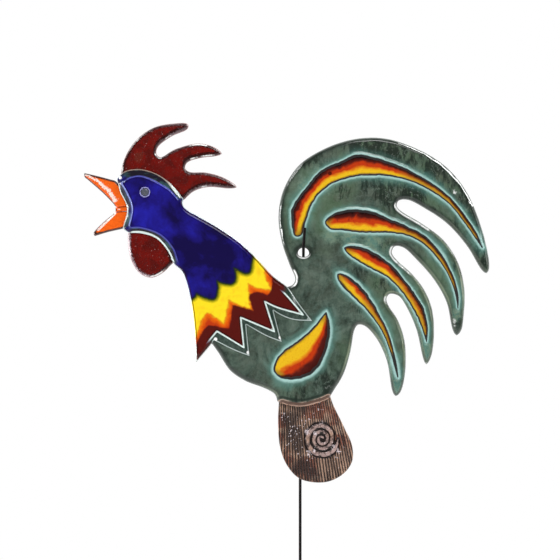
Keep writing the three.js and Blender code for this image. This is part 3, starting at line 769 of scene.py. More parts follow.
def bumps(points, size, seed):
    """Smooth noise between about -1 and 1 at points, with features of that size."""
    return np.array([noise.noise((x / size, z / size, seed)) for x, z in points])


def inward(loop):
    """At each point of an outline, the way across it to its left: into the clay."""
    along = np.roll(loop, -1, axis=0) - np.roll(loop, 1, axis=0)
    return np.stack([-along[:, 1], along[:, 0]], axis=1) / np.linalg.norm(along, axis=1)[:, None]


class Edge:
    """Distances to a set of lines."""
    marks = 4

    def __init__(self, lines, closed=True):
        pairs = [(line, np.roll(line, -1, axis=0)) for line in lines]
        cut = None if closed else -1
        self.start = np.concatenate([a[:cut] for a, _ in pairs])
        self.along = np.concatenate([b[:cut] for _, b in pairs]) - self.start
        self.tree = KDTree(self.marks * len(self.start))
        for i, (start, along) in enumerate(zip(self.start, self.along)):
            for k in range(self.marks):
                self.tree.insert((*(start + along * (k + 0.5) / self.marks), 0), i)
        self.tree.balance()

    def nearest(self, points):
        """Number of the stretch that is nearest to each point."""
        return np.array([self.tree.find((x, z, 0))[1] for x, z in points])

    def distance(self, points):
        near = self.nearest(points)
        best = np.full(len(points), np.inf)
        for shift in (-1, 0, 1):
            i = (near + shift) % len(self.start)
            start, along = self.start[i], self.along[i]
            share = ((points - start) * along).sum(1) / (along * along).sum(1)
            gap = points - start - along * np.clip(share, 0, 1)[:, None]
            best = np.minimum(best, np.linalg.norm(gap, axis=1))
        return best


def pool_sides(loop, start):
    """The two sides of a pool between its broad end and its far tip."""
    broad = away_from(loop, start).argmin()
    first, last = sorted([broad, np.linalg.norm(loop - loop[broad], axis=1).argmax()])
    return loop[first:last + 1], np.concatenate([loop[last:], loop[:first + 1]])


@cache
def pool_outline(name):
    """Edge of a pool of glaze, with the waver of a poured line that calms down where the pool is narrow."""
    loop = outlines(name)[0]
    seed = list(POOLS).index(name)
    sides = pool_sides(loop, POOLS[name])
    wide = np.max([Edge([side], closed=False).distance(loop) for side in sides], axis=0)
    waver = bumps(loop, 6.5, seed) + 0.5 * bumps(loop, 2.6, seed + 0.5)
    waver *= sizes().wobble * np.clip((wide - 2) / 7, 0.08, 1)
    return loop + inward(loop) * waver[:, None]


def inside(points, loops):
    """Which points lie inside outlines and not in their holes."""
    odd = np.zeros(len(points), bool)
    x, z = points.T
    for loop in loops:
        for (ax, az), (bx, bz) in zip(loop, np.roll(loop, -1, axis=0)):
            hit = np.flatnonzero((az > z) != (bz > z))
            odd[hit] ^= x[hit] < (bx - ax) * (z[hit] - az) / (bz - az) + ax
    return odd


# Meshes of clay and glaze

def rings(loops, depths):
    """Points beside outlines at given depths, left out where another stretch of outline is nearer."""
    edge = Edge(loops)
    found = []
    for loop in loops:
        for depth in depths:
            points = loop + inward(loop) * depth
            found.append(points[edge.distance(points) > 0.94 * abs(depth)])
    return np.concatenate(found)


def honeycomb(loops, step):
    """Points inside outlines, in rows that are shifted by half a step in turn."""
    low = np.min([loop.min(0) for loop in loops], axis=0)
    high = np.max([loop.max(0) for loop in loops], axis=0)
    x, z = np.meshgrid(np.arange(low[0], high[0], step), np.arange(low[1], high[1], step * 0.866))
    x = x + (np.arange(len(z)) % 2)[:, None] * step / 2
    points = np.stack([x.ravel(), z.ravel()], axis=1)
    return points[inside(points, loops)]


def rounding(radius):
    """Depths of the rings that draw a rounded edge."""
    return [radius * (1 - math.cos(math.radians(angle))) for angle in (18, 36, 54, 72, 90)]


def triangles(loops, lines, loose):
    """Fills outlines with triangles through loose points, along closed or open lines."""
    points, edges = [], []
    for line, closed in [(loop, True) for loop in loops] + list(lines):
        first, count = len(points), len(line)
        points += line.tolist()
        edges += [(first + i, first + (i + 1) % count) for i in range(count if closed else count - 1)]
    points += loose.tolist()
    found = delaunay_2d_cdt([Vector(p) for p in points], edges, [], 0, 1e-4)
    points = np.array([tuple(p) for p in found[0]])
    faces = np.array(found[2])
    faces = faces[inside(points[faces].mean(1), loops)]
    a, b, c = (points[faces[:, k]] for k in range(3))
    turned = (b[:, 0] - a[:, 0]) * (c[:, 1] - a[:, 1]) < (b[:, 1] - a[:, 1]) * (c[:, 0] - a[:, 0])
    faces[turned] = faces[turned][:, ::-1]
    return used(points, faces)


def used(points, faces):
    """Only the points that the faces need."""
    kept, faces = np.unique(faces, return_inverse=True)
    return points[kept], faces.reshape(-1, 3)


def sheet(loops, depths, step, lines=(), extra=(), clear=None):
    """Triangles of a slab's front: dense along its edge at given depths and along given lines."""
    fill = honeycomb(loops, step)
    fill = fill[Edge(loops).distance(fill) > depths[-1] + 0.5 * step]
    if clear is not None:
        fill = fill[clear(fill)]
    loose = np.concatenate([rings(loops, depths), *extra, fill])
    return triangles(loops, lines, loose)


def drop(distance, radius):
    """Fall of a rounded edge at a distance from the outline."""
    return radius - np.sqrt(np.maximum(radius**2 - (radius - np.minimum(distance, radius))**2, 0))


def bevel_depths(width):
    """Depths of the rings that draw a bevelled edge."""
    return [0.15] + [width * share for share in (0.2, 0.34, 0.46, 0.6, 0.78, 0.96, 1.15, 1.5)]


def eased(value, soft):
    """The value where it is above 0 and 0 below, with a soft bend between."""
    return (value + np.sqrt(value**2 + soft**2)) / 2


def bevel(points, distance, width, broad=0):
    """Fall of an edge bevelled by hand: steep outside, then a slope that varies along the rim."""
    steepness = math.tan(math.radians(49))
    slope = steepness * (1 + 0.3 * bumps(points, 9, 11.5) + 0.12 * bumps(points, 2.5, 12.5))
    reach = width * (1 + 0.2 * bumps(points, 14, 15.5) + broad)
    return slope * eased(reach - distance, 0.3 * width) + 1.4 * eased(0.42 * width - distance, 0.1 * width)


def object_of(name, vertices, faces, traits, finish, node, slot):
    """A piece of the figure that stands for a CAD node, with its measured traits on its vertices."""
    mesh = bpy.data.meshes.new(name)
    mesh.from_pydata((np.asarray(vertices) * MM).tolist(), [], faces)
    if mesh.validate():
        raise RuntimeError(f"{name}: the mesh has faulty faces")
    for key, values in traits.items():
        values = np.array(np.broadcast_to(values, len(vertices)), np.float32)
        mesh.attributes.new(key, "FLOAT", "POINT").data.foreach_set("value", values)
    mesh.shade_smooth()
    mesh.set_sharp_from_angle(angle=math.radians(SHARP))
    mesh.materials.append(finish)
    piece = bpy.data.objects.new(name, mesh)
    bpy.context.scene.collection.objects.link(piece)
    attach(piece, "figure")
    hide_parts(node)


def slab(name, points, faces, front, back, traits, finish, node, slot):
    """A closed slab: its front and back over the same triangles, joined by a wall round every edge."""
    count = len(points)
    ends = [np.stack([points[:, 0], depth, points[:, 1]], axis=1) for depth in (front, back)]
    sides = np.concatenate([faces[:, [0, 1]], faces[:, [1, 2]], faces[:, [2, 0]]])
    forth = sides[:, 0] * count + sides[:, 1]
    rim = sides[~np.isin(forth, sides[:, 1] * count + sides[:, 0])]
    walls = np.stack([rim[:, 0], rim[:, 0] + count, rim[:, 1] + count, rim[:, 1]], axis=1)
    traits = {key: np.concatenate([np.broadcast_to(end, count) for end in ends_of])
              for key, ends_of in traits.items()}
    every = faces.tolist() + (faces[:, ::-1] + count).tolist() + walls.tolist()
    object_of(name, np.concatenate(ends), every, traits, finish, node, slot)


def planes(node):
    """Back and front of a CAD node, in millimetres along y."""
    low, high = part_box(node)
    return high.y / MM, low.y / MM


def bare_back(rim):
    """How bare the back is: from 0 at the rim to 1 where no glaze has run."""
    return np.minimum(rim / BACK_GLAZE, 1)


def facing(loop, way):
    """A measure of how far the nearest stretch of an outline faces that way, 0 to 1."""
    edge = Edge([loop])
    turned = np.clip(-inward(loop) @ np.array(way), 0, 1)
    return lambda points: turned[edge.nearest(points)]


def plain_slab(name, node, finish, slot, width, step, relief, marks):
    """A slab with a bevelled rim; relief gives extra height at points, and marks are traits of its front."""
    loops = outlines(node)
    points, faces = sheet(loops, bevel_depths(width), step)
    rim = Edge(loops).distance(points)
    back, front = planes(node)
    height = np.maximum(back - front - bevel(points, rim, width) + relief(points, rim), THINNEST)
    behind = back - drop(rim, sizes().back_rim)
    traits = {"rim": (rim, FAR), "bare": (0, bare_back(rim))}
    traits |= {key: (mark(points), 0) for key, mark in marks.items()}
    slab(name, points, faces, back - height, behind, traits, finish, node, slot)


# Pieces

class ROOSTER_OT_body(bpy.types.Operator):
    """Body and tail: one slab with raised lips round the pools of glaze"""
    bl_idname = "rooster.body"
    bl_label = "Body and tail"
    bl_options = {"REGISTER", "UNDO"}

    mesh_step = 2.6          # spacing of the mesh's points

    # How far glaze fills the hole's sides and its lower half, as shares of its radius
    hole_fill = (0.01, 0.36)

    # Depths of the rings of points that draw a pool's lip, how far the lip reaches, and how wide its crest is
    lip_rings = [-0.5, -1.0, -1.5, -2.1, -2.8, -3.7, -4.8, 0.6]
    lip_reach = 6
    lip_width = 1.5

    # Places where the green glaze lies thick: x and z, radius, strength
    thick_places = [(75, 122, 26, 0.8), (110, 118, 30, 0.8), (150, 92, 26, 0.9), (190, 40, 22, 0.7),
                    (198, -10, 20, 0.8), (92, 66, 18, 1.0), (118, 66, 20, 1.0), (70, 76, 12, 0.7),
                    (85, 5, 16, 0.6), (62, -20, 16, 0.5), (25, -145, 16, 0.9), (-5, -160, 22, 0.5),
                    (-20, 100, 24, 0.45), (10, 110, 26, 0.55), (92, -32, 16, 0.7), (60, -60, 16, 0.4),
                    (170, -70, 14, 0.5), (165, -20, 18, 0.5), (42, 68, 14, 0.6), (58, 118, 16, 0.8),
                    (180, 62, 18, 0.8), (140, 40, 14, 0.7), (160, 25, 14, 0.7), (98, 108, 14, 1.1)]

    # Places where it runs teal, at the feathers' tips and beside the pools
    glow_places = [(136, -108, 13, 1.0), (102, -148, 13, 1.0), (167, -68, 10, 0.8), (2, 74, 12, 0.8),
                   (-8, 52, 8, 0.7), (16, 90, 10, 0.7), (118, -74, 9, 0.6), (30, 20, 12, 0.8),
                   (52, 18, 13, 0.9), (76, 12, 13, 0.9), (96, 2, 10, 0.7), (24, 74, 12, 0.7),
                   (46, 82, 9, 0.5)]

    # Places where its rim is broad, where the rim is light, and where a spot of highlight is painted
    broad_places = [(160, 88, 20, 0.5), (146, 104, 16, 0.4), (178, 66, 12, 0.3), (-26, 40, 30, 0.35)]
    light_places = [(128, -48, 36, 1.0), (104, -98, 34, 1.0), (166, -34, 28, 1.0), (48, -112, 22, 0.9),
                    (150, 10, 22, 0.8), (90, -40, 26, 0.8), (-20, -150, 26, 0.5)]
    shine_places = [(166.5, 68, 2.2, 0.8), (168.5, 66.5, 1.8, 0.7), (183.5, 56, 1.9, 0.8),
                    (186, 52.5, 1.6, 0.7), (167, -79.5, 1.9, 0.7), (166, -76, 1.9, 0.7),
                    (165.6, -73, 1.5, 0.6), (134.5, -121, 1.5, 0.6), (93, -142, 1.5, 0.7)]

    # Places where that painted highlight is a line along the rim: in the slots between feathers and beside
    # the neck
    highlight_line_places = [(104, 47.6, 8, 1.0), (111, 41, 8, 1.0), (122, 35, 8, 0.9), (134, 29, 8, 0.6),
                    (97, 1.5, 6, 0.8), (104, -4, 7, 1.0), (112, -11, 7, 0.9), (120, -18, 7, 0.6),
                    (93, -51, 5, 0.7), (-10.5, -24, 6, 0.8), (-11.5, -32, 5, 0.8)]

    def execute(self, context):
        size = sizes()
        outer, hole = outlines("body_slab")
        spread = hole - HOLE
        narrow, shallow = self.hole_fill
        hole = hole - np.stack([narrow * spread[:, 0], shallow * np.minimum(spread[:, 1], 0)], axis=1)
        loops = [outer, hole]
        pools = [pool_outline(name) for name in POOLS]
        pool_edge = Edge(pools)
        depths = bevel_depths(size.bevel)
        around = np.concatenate([rings([pool], self.lip_rings) for pool in pools])
        around = around[(Edge(loops).distance(around) > depths[-1]) & inside(around, loops)]
        points, faces = sheet(
            loops, depths, self.mesh_step, [(pool, True) for pool in pools], [around],
            clear=lambda fill: pool_edge.distance(fill) > self.lip_reach)
        rim = Edge([outer]).distance(points)
        hole_rim = Edge([hole]).distance(points)
        halo = pool_edge.distance(points)
        pooled = inside(points, pools) & (halo > 0.05)

        back, front = planes("body_slab")
        broad = patches(points, self.broad_places)
        lip = size.lip * swell(halo - size.lip_place, self.lip_width)
        height = back - front - bevel(points, rim, size.bevel, broad) - drop(hole_rim, size.hole_rim)
        height += size.ripple * bumps(points, 30, 3.5) + np.where(pooled, 0, lip)
        height -= np.where(pooled, size.hollow * np.minimum(halo / 0.6, 1), 0)
        behind = back - drop(np.minimum(rim, hole_rim), size.back_rim)

        halo = np.where(pooled, 0, halo) * (1 + 0.45 * bumps(points, 26, 13.5))
        halo = halo * np.where(Edge(pools[:1]).distance(points) < 14, 0.75, 1)
        fall = np.clip((HOLE[1] - points[:, 1]) / np.maximum(away_from(points, (0, 0)), 0.1), 0, 1)
        light_rim = patches(points, self.light_places)
        fern = np.clip((points[:, 0] + points[:, 1] - HOLE.sum() + 20) / 60, 0.8 * light_rim, 1)
        traits = {"rim": (np.minimum(rim, hole_rim + 1.5), FAR),
                  "halo": (halo, FAR),
                  "foot": (self.from_stump(points, outer), FAR),
                  "thick": (patches(points, self.thick_places), 0),
                  "fern": (fern, 0),
                  "glow": (patches(points, self.glow_places), 0),
                  "light_rim": (light_rim, 0),
                  "painted_highlight": (patches(points, self.highlight_line_places), 0),
                  "hole_highlight": (fall * swell(hole_rim - 1.3, 0.7), 0),
                  "shine": (patches(points, self.shine_places), 0),
                  "bare": (0, bare_back(np.minimum(rim, hole_rim)))}
        slab("rooster_body", points, faces, back - height, behind, traits, green_glaze(), "body_slab",
             "green_glaze")
        return {"FINISHED"}

    def from_stump(self, points, outer):
        """Distance from the stretch of the body's edge that lies on the stump."""
        seam = outer[inside(outer, outlines("stump"))]
        seam = seam[np.argsort(seam[:, 0])]
        return Edge([seam[2:-2]], closed=False).distance(points)


class ROOSTER_OT_flames(bpy.types.Operator):
    """Pools of red to yellow glaze on the wing and the tail feathers"""
    bl_idname = "rooster.flames"
    bl_label = "Wing and tail glaze"
    bl_options = {"REGISTER", "UNDO"}

    mesh_step = 1.5          # spacing of the mesh's points
    rim = 0.9                # rounding of a pool's edge

    # For each pool: towards its dark side, how far its gold reaches, and more gold at its broad end;
    # the wing has steps of its own
    dark_sides = [(1, -1), (-1, 1), (0.4, 1), (0.5, 1), (0.6, 1)]
    reaches = [None, 1.0, 0.95, 1.15, 1.25]
    golden_ends = [0, 0.35, 0, 0, 0.2]
    wing_steps = [(0, 0.06, 0.27, 0.39, 0.49, 0.6, 0.9, 1), (0.06, 0.16, 0.27, 0.45, 0.6, 0.76, 0.86, 1)]

    # A burnt spot in the first tail pool
    spot = (29, 88)

    def execute(self, context):
        size = sizes()
        finish = flame_glaze()
        for name, dark, reach, golden in zip(POOLS, self.dark_sides, self.reaches, self.golden_ends):
            start = POOLS[name]
            loop = pool_outline(name)
            points, faces = sheet([loop], rounding(self.rim), self.mesh_step)
            edge = Edge([loop]).distance(points)
            sides = sorted(pool_sides(loop, start), key=lambda side: -side.mean(0) @ np.array(dark))
            to_dark, to_gold = (Edge([side], closed=False).distance(points) for side in sides)
            wide = to_dark + to_gold
            across = to_dark / np.maximum(wide, 0.01)
            thin = np.clip((13 - wide) / 5, 0, 1) + np.clip((6 - wide) / 3, 0, 1)
            blaze = across**(1 / reach) if reach else np.interp(across, *self.wing_steps)
            blaze = blaze + golden * swell(away_from(points, start), 13)
            line = edge / np.clip(wide / 7, 0.45, 1) - 2.2 * np.clip((3.4 - wide) / 1.8, 0, 1)
            shade = (1 - across) * np.clip(1 - thin, 0, 1)
            traits = {"edge": (line, 0), "blaze": (blaze, 0), "shade": (shade, 1), "thin": (thin, 1),
                      "spot": (away_from(points, self.spot), FAR), "stir": (1.0 if reach else 0.45, 0)}
            front = planes(name)[1]
            rise = 0.12 * bumps(points, 14, 8.5) - 0.25 * np.minimum(edge / 1.5, 1) + 0.2
            floor = np.full(len(points), front + size.hollow - 0.05)
            slab(name + "_pool", points, faces, front - rise, floor, traits, finish, name, "flame_glaze")
        return {"FINISHED"}


def joined_outline(loops):
    """One outline round plates that lie side by side."""
    runs = []
    for i, loop in enumerate(loops):
        free = Edge(loops[:i] + loops[i + 1:]).distance(loop) > TOUCHING
        start = np.flatnonzero(~free)[0]
        run = []
        for point, is_free in zip(np.roll(loop, -start, axis=0), np.roll(free, -start)):
            if is_free:
                run.append(point)
            elif run:
                runs.append(run)
                run = []
        if run:
            runs.append(run)
    joined = runs.pop(0)
    while runs:
        following = min(runs, key=lambda run: np.linalg.norm(run[0] - joined[-1]))
        runs = [run for run in runs if run is not following]
        joined = joined + following
    return np.array(joined)


@cache
def ridge_outline():
    """Top of the head's sloping edge, round the whole neck glaze."""
    return smooth(joined_outline([cad_loops("neck_glaze_" + coat)[0] for coat in COATS]))


# Pieces under the head's edge: light and haze on the ridge, light, width and blush of the foot's line,
# and how blue the ridge is
BEAK_EDGE = (1.0, 0.1, 0.75, 1.4, 0.1, 0.3)
UNDER_HEAD = {"body_slab": (1.0, 0.0, 0.6, 1.4, 0.0, 0.0), "comb": (0.55, 0.0, 0.6, 1.35, 0.9, 1.0),
              "wattle": (0.4, 0.0, 1.0, 2.1, 0.0, 1.0), "beak_upper": BEAK_EDGE,
              "beak_lower": BEAK_EDGE, "beak_corner": BEAK_EDGE}

# Places where that foot's line is widened and white, as a painted highlight
EDGE_GLEAMS = [(-139, 69, 12, 1.0), (-176, 26, 14, 0.3)]


@cache
def head_edge():
    """The head's outline, and for each stretch of it what lies under it, how the glaze breaks there and where
    a highlight is painted.
    """
    loop = outlines("hackle_slab")[0]
    outside = loop - 2.0 * inward(loop)
    keys = ("laid", "on_body", "ridge_light", "hazy", "foot_light", "foot_wide", "foot_blush", "ridge_blue")
    traits = {key: np.zeros(len(loop)) for key in keys}
    for name, levels in UNDER_HEAD.items():
        under = inside(outside, outlines(name)[:1])
        for key, value in zip(keys, (1, name == "body_slab", *levels)):
            traits[key][under] = value
    # Painted highlight: the foot's line is wider and white at these places
    shine = patches(loop, EDGE_GLEAMS)
    traits["foot_wide"] += 2.2 * shine
    traits["foot_blush"] *= 1 - shine
    traits["foot_light"] = np.maximum(traits["foot_light"], shine * traits["laid"])
    blur = np.hanning(9)
    for key, value in traits.items():
        around = np.concatenate([value[-4:], value, value[:4]])
        traits[key] = np.convolve(around, blur / blur.sum(), "valid")
    return Edge([loop]), traits


@cache
def neck_borders():
    """Lines between the neck's colours, sharp where two runs meet."""
    lines = []
    for runs in NECK_BORDERS:
        line = []
        start = runs[0][0]
        for run in runs:
            points = [start] + [point for point in run if point != start]
            line.append(even(curve(points) + HOLE, 1.3)[:-1])
            start = run[-1]
        lines.append(np.concatenate(line + [[np.array(start) + HOLE]]))
    return lines


def above(border):
    """A field on the head's side of a border."""
    reach = 400
    corners = [(border[-1, 0], HOLE[1] + reach), (border[0, 0] - reach, HOLE[1] + reach),
               (border[0, 0] - reach, border[0, 1])]
    return np.concatenate([border, corners])


def border_traits(points):
    """Distance to each border, negative on the head's side, and where the blue lies deep."""
    traits = {}
    for k, border in enumerate(neck_borders()):
        side = np.where(inside(points, [above(border)]), -1, 1)
        traits[f"border_{k + 1}"] = side * Edge([border], closed=False).distance(points)
    traits["deep"] = swell(away_from(points, DEEP_BLUE), 34)
    return traits


class ROOSTER_OT_head(bpy.types.Operator):
    """Head and hackle slab with its sloping, toothed edge"""
    bl_idname = "rooster.head"
    bl_label = "Head and hackle"
    bl_options = {"REGISTER", "UNDO"}

    mesh_step = 2.4          # spacing of the mesh's points

    # Drops of glaze at the foot of the teeth, painted white as highlights: x and z, size, strength
    drips = [(-96.7, -94.5, 2.2, 1), (-60.8, -109, 2.0, 1), (-25.6, -92.8, 2.0, 1), (-201.2, 82.8, 1.8, 1)]
    drip_height = 0.9

    # Depths of the rings of points that draw the ridge
    ridge_rings = [-0.5, -1.1, -1.8, -2.6, -3.4, 0.5, 1.2]

    def execute(self, context):
        size = sizes()
        loop = outlines("hackle_slab")[0]
        ridge = ridge_outline()
        edge, around = head_edge()
        ridge_edge = Edge([ridge])
        beside = np.concatenate([rings([ridge], self.ridge_rings), self.drip_points()])
        beside = beside[inside(beside, [loop]) & (edge.distance(beside) > 0.7)]
        points, faces = sheet(
            [loop], rounding(1.0), self.mesh_step, [(ridge, True)], [beside],
            clear=lambda fill: ridge_edge.distance(fill) > 1.6)
        rim = edge.distance(points)
        to_ridge = ridge_edge.distance(points)
        on_top = inside(points, [ridge]) | (to_ridge < 0.01)
        climb = np.where(on_top, 1, rim / np.maximum(rim + to_ridge, 0.01))
        here = edge.nearest(points)
        laid = around["laid"][here]
        sloped = 0.15 + 0.85 * (1 - (1 - climb)**1.5)
        rounded = 0.4 + 0.6 * np.sqrt(1 - (1 - climb)**2)
        drip = patches(points, self.drips)

        back, front = planes("hackle_slab")
        height = (back - front) * (laid * sloped + (1 - laid) * rounded)
        height += np.where(on_top, 0, laid * size.ridge * swell(climb - 0.86, 0.12))
        height += 0.4 * size.ripple * bumps(points, 18, 5.5) * np.minimum(rim / 2, 1)
        height += self.drip_height * drip
        behind = back - drop(rim, 0.8)

        traits = {"rim": (rim, FAR), "ridge": (np.where(on_top, 0, to_ridge), FAR), "drip": (drip, 0),
                  "bare": (0, bare_back(rim))}
        traits |= {key: (values[here], values[here]) for key, values in around.items()}
        traits |= {key: (values, values) for key, values in border_traits(points).items()}
        slab("rooster_head", points, faces, back - height, behind, traits, slope_glaze(), "hackle_slab",
             "head_rim_glaze")
        return {"FINISHED"}

    def drip_points(self):
        """Points on each drop and in rings round it, for an even mesh."""
        found = []
        for x, z, spread, _ in self.drips:
            for reach in (0, 0.5 * spread, spread, 1.5 * spread):
                for angle in np.linspace(0, 2 * math.pi, 9)[:-1 if reach else 1]:
                    found.append(HOLE + (x, z) + reach * np.array([math.cos(angle), math.sin(angle)]))
        return found


class ROOSTER_OT_neck(bpy.types.Operator):
    """Neck glaze in four fused fields"""
    bl_idname = "rooster.neck"
    bl_label = "Neck glaze"
    bl_options = {"REGISTER", "UNDO"}

    mesh_step = 1.9          # spacing of the mesh's points
    slots = ["cobalt_glaze", "yellow_glaze", "orange_glaze", "oxblood_glaze"]

    def execute(self, context):
        size = sizes()
        ridge = ridge_outline()
        edge, around = head_edge()
        borders = neck_borders()
        edges = [Edge([border], closed=False) for border in borders]
        close = [row for border in borders for row in self.beside(border, ridge)]
        points, faces = sheet(
            [ridge], rounding(size.coat_rim), self.mesh_step, [(border, False) for border in borders], close,
            clear=lambda fill: np.min([e.distance(fill) for e in edges], axis=0) > 1.5)
        rim = Edge([ridge]).distance(points)
        here = edge.nearest(points)
        top = planes("neck_glaze_blue")[1] + drop(rim, size.coat_rim) * around["laid"][here]
        top -= 0.5 * size.ripple * bumps(points, 16, 2.5)
        floor = np.full(len(points), planes("hackle_slab")[1] - 0.02)
        traits = {"ridge": rim} | {key: values[here] for key, values in around.items()}
        traits |= border_traits(points)
        below = sum((~inside(points[faces].mean(1), [above(border)])).astype(int) for border in borders)
        finish = neck_glaze()
        for k, (coat, slot) in enumerate(zip(COATS, self.slots)):
            kept = np.unique(faces[below == k])
            _, own = used(points, faces[below == k])
            slab("neck_" + coat, points[kept], own, top[kept], floor[kept],
                 {key: (values[kept], values[kept]) for key, values in traits.items()},
                 finish, "neck_glaze_" + coat, slot)
        return {"FINISHED"}

    def beside(self, border, ridge):
        """Points on both sides of a border, for an even mesh."""
        along = np.gradient(border, axis=0)
        across = np.stack([-along[:, 1], along[:, 0]], axis=1) / np.linalg.norm(along, axis=1)[:, None]
        edge = Edge([border], closed=False)
        rim = Edge([ridge])
        for depth in (-1.0, 1.0):
            points = border + across * depth
            free = (edge.distance(points) > 0.9) & (rim.distance(points) > 1)
            yield points[free & inside(points, [ridge])]


class ROOSTER_OT_comb(bpy.types.Operator):
    """Comb and wattle in speckled oxblood glaze"""
    bl_idname = "rooster.comb"
    bl_label = "Comb and wattle"
    bl_options = {"REGISTER", "UNDO"}

    mesh_step = 2.2          # spacing of the mesh's points

    # Each piece with its CAD node and the way its edge of painted shade faces
    pieces = [("rooster_comb", "comb", (0, -1)), ("rooster_wattle", "wattle", (0.3, -0.1))]

    # Places on the rims where a white highlight is painted, where crumbs stick to it, and where it is smudged
    places = {
        "shine": [(-116, 121, 11, 1.0), (-106, 108, 8, 0.9), (-120, 104, 6, 0.8), (-136, 85, 6, 0.8),
                  (-128, 78, 9, 0.8), (-110, 74, 7, 0.6), (-160, 108, 7, 0.7), (-148, 128, 8, 0.6),
                  (-200.5, 92, 4, 0.75), (-186, 124, 10, 0.5), (-170, -28, 12, 0.6), (-158, -20, 9, 0.8)],
        "crumbs": [(-196, 8, 24, 1.0), (-184, -20, 18, 1.0), (-168, -28, 12, 0.8), (-112, 74, 24, 0.3),
                   (-140, 130, 20, 0.3)],
        "smudge": [(-182, 105, 6, 1.0), (-177, 110, 4, 0.7), (-166, 118, 6, 0.5)]}

    def execute(self, context):
        size = sizes()
        finish = oxblood_glaze()

        def relief(points, rim):
            return 0.7 * size.ripple * (bumps(points, 16, 6.5) - 1) * np.minimum(rim / 3, 1)

        for name, node, below in self.pieces:
            marks = {"under": facing(outlines(node)[0], below)}
            marks |= {key: partial(patches, places=places) for key, places in self.places.items()}
            plain_slab(name, node, finish, "oxblood_glaze", size.trim_bevel, self.mesh_step, relief, marks)
        return {"FINISHED"}


class ROOSTER_OT_beak(bpy.types.Operator):
    """Two halves of the beak and the bar in its corner"""
    bl_idname = "rooster.beak"
    bl_label = "Beak"
    bl_options = {"REGISTER", "UNDO"}

    mesh_step = 1.1          # spacing of the mesh's points

    # Each piece with its CAD node, the way its face climbs, the way its dark edge faces, and its streak of
    # painted highlight: a line, its width at both ends and how broken it is
    pieces = [("upper_beak", "beak_upper", (0.02, -0.03), (0.3, 1),
               [(-239.5, 86.8), (-225, 78.5), (-215, 69.5), (-207.5, 58)], (1.5, 2.7), 1.2),
              ("lower_beak", "beak_lower", (0.02, 0.01), (0.3, -1),
               [(-226, 25.5), (-207.8, 43.4)], (1.3, 1.6), 0.3),
              ("beak_bar", "beak_corner", (0.0, 0.0), (1, 0),
               [(-204.4, 48.6), (-201.6, 48.6)], (0.7, 0.5), 0.3)]
    sooty_places = [(-229.5, 20.5, 4.5, 1.0)]

    def execute(self, context):
        size = sizes()
        finish = beak_glaze()
        for name, node, tilt, dark, streak, spread, broken in self.pieces:
            width = size.beak_bevel if node != "beak_corner" else 0.45 * size.beak_bevel
            loop = outlines(node)[0]
            seam = Edge([outlines(other)[0] for _, other, *_ in self.pieces if other != node])
            free = loop[seam.distance(loop) > 1.6]
            line = even(np.array(streak, float) + HOLE, 0.5)

            def relief(points, rim):
                slope = (points - points.mean(0)) @ np.array(tilt)
                dents = 0.2 * bumps(points, 5, 9.5) + 0.09 * bumps(points, 1.8, 3.5)
                return np.minimum(rim / 3, 1) * (dents - 0.25) + slope - slope.max()

            def sheen(points):
                gaps = np.linalg.norm(points[:, None] - line, axis=2)
                wide = np.linspace(*spread, len(line))[gaps.argmin(1)]
                return swell(gaps.min(1), wide)

            def free_rim(points):
                gaps = np.linalg.norm(points[:, None] - free, axis=2)
                return gaps.min(1) - 1.8 * patches(points, self.sooty_places)

            marks = {"sheen": sheen, "broken": lambda points: broken, "seam": seam.distance, "rim": free_rim,
                     "outer": facing(loop, np.array(dark) / np.linalg.norm(dark))}
            plain_slab(name, node, finish, "orange_glaze", width, self.mesh_step, relief, marks)
        return {"FINISHED"}


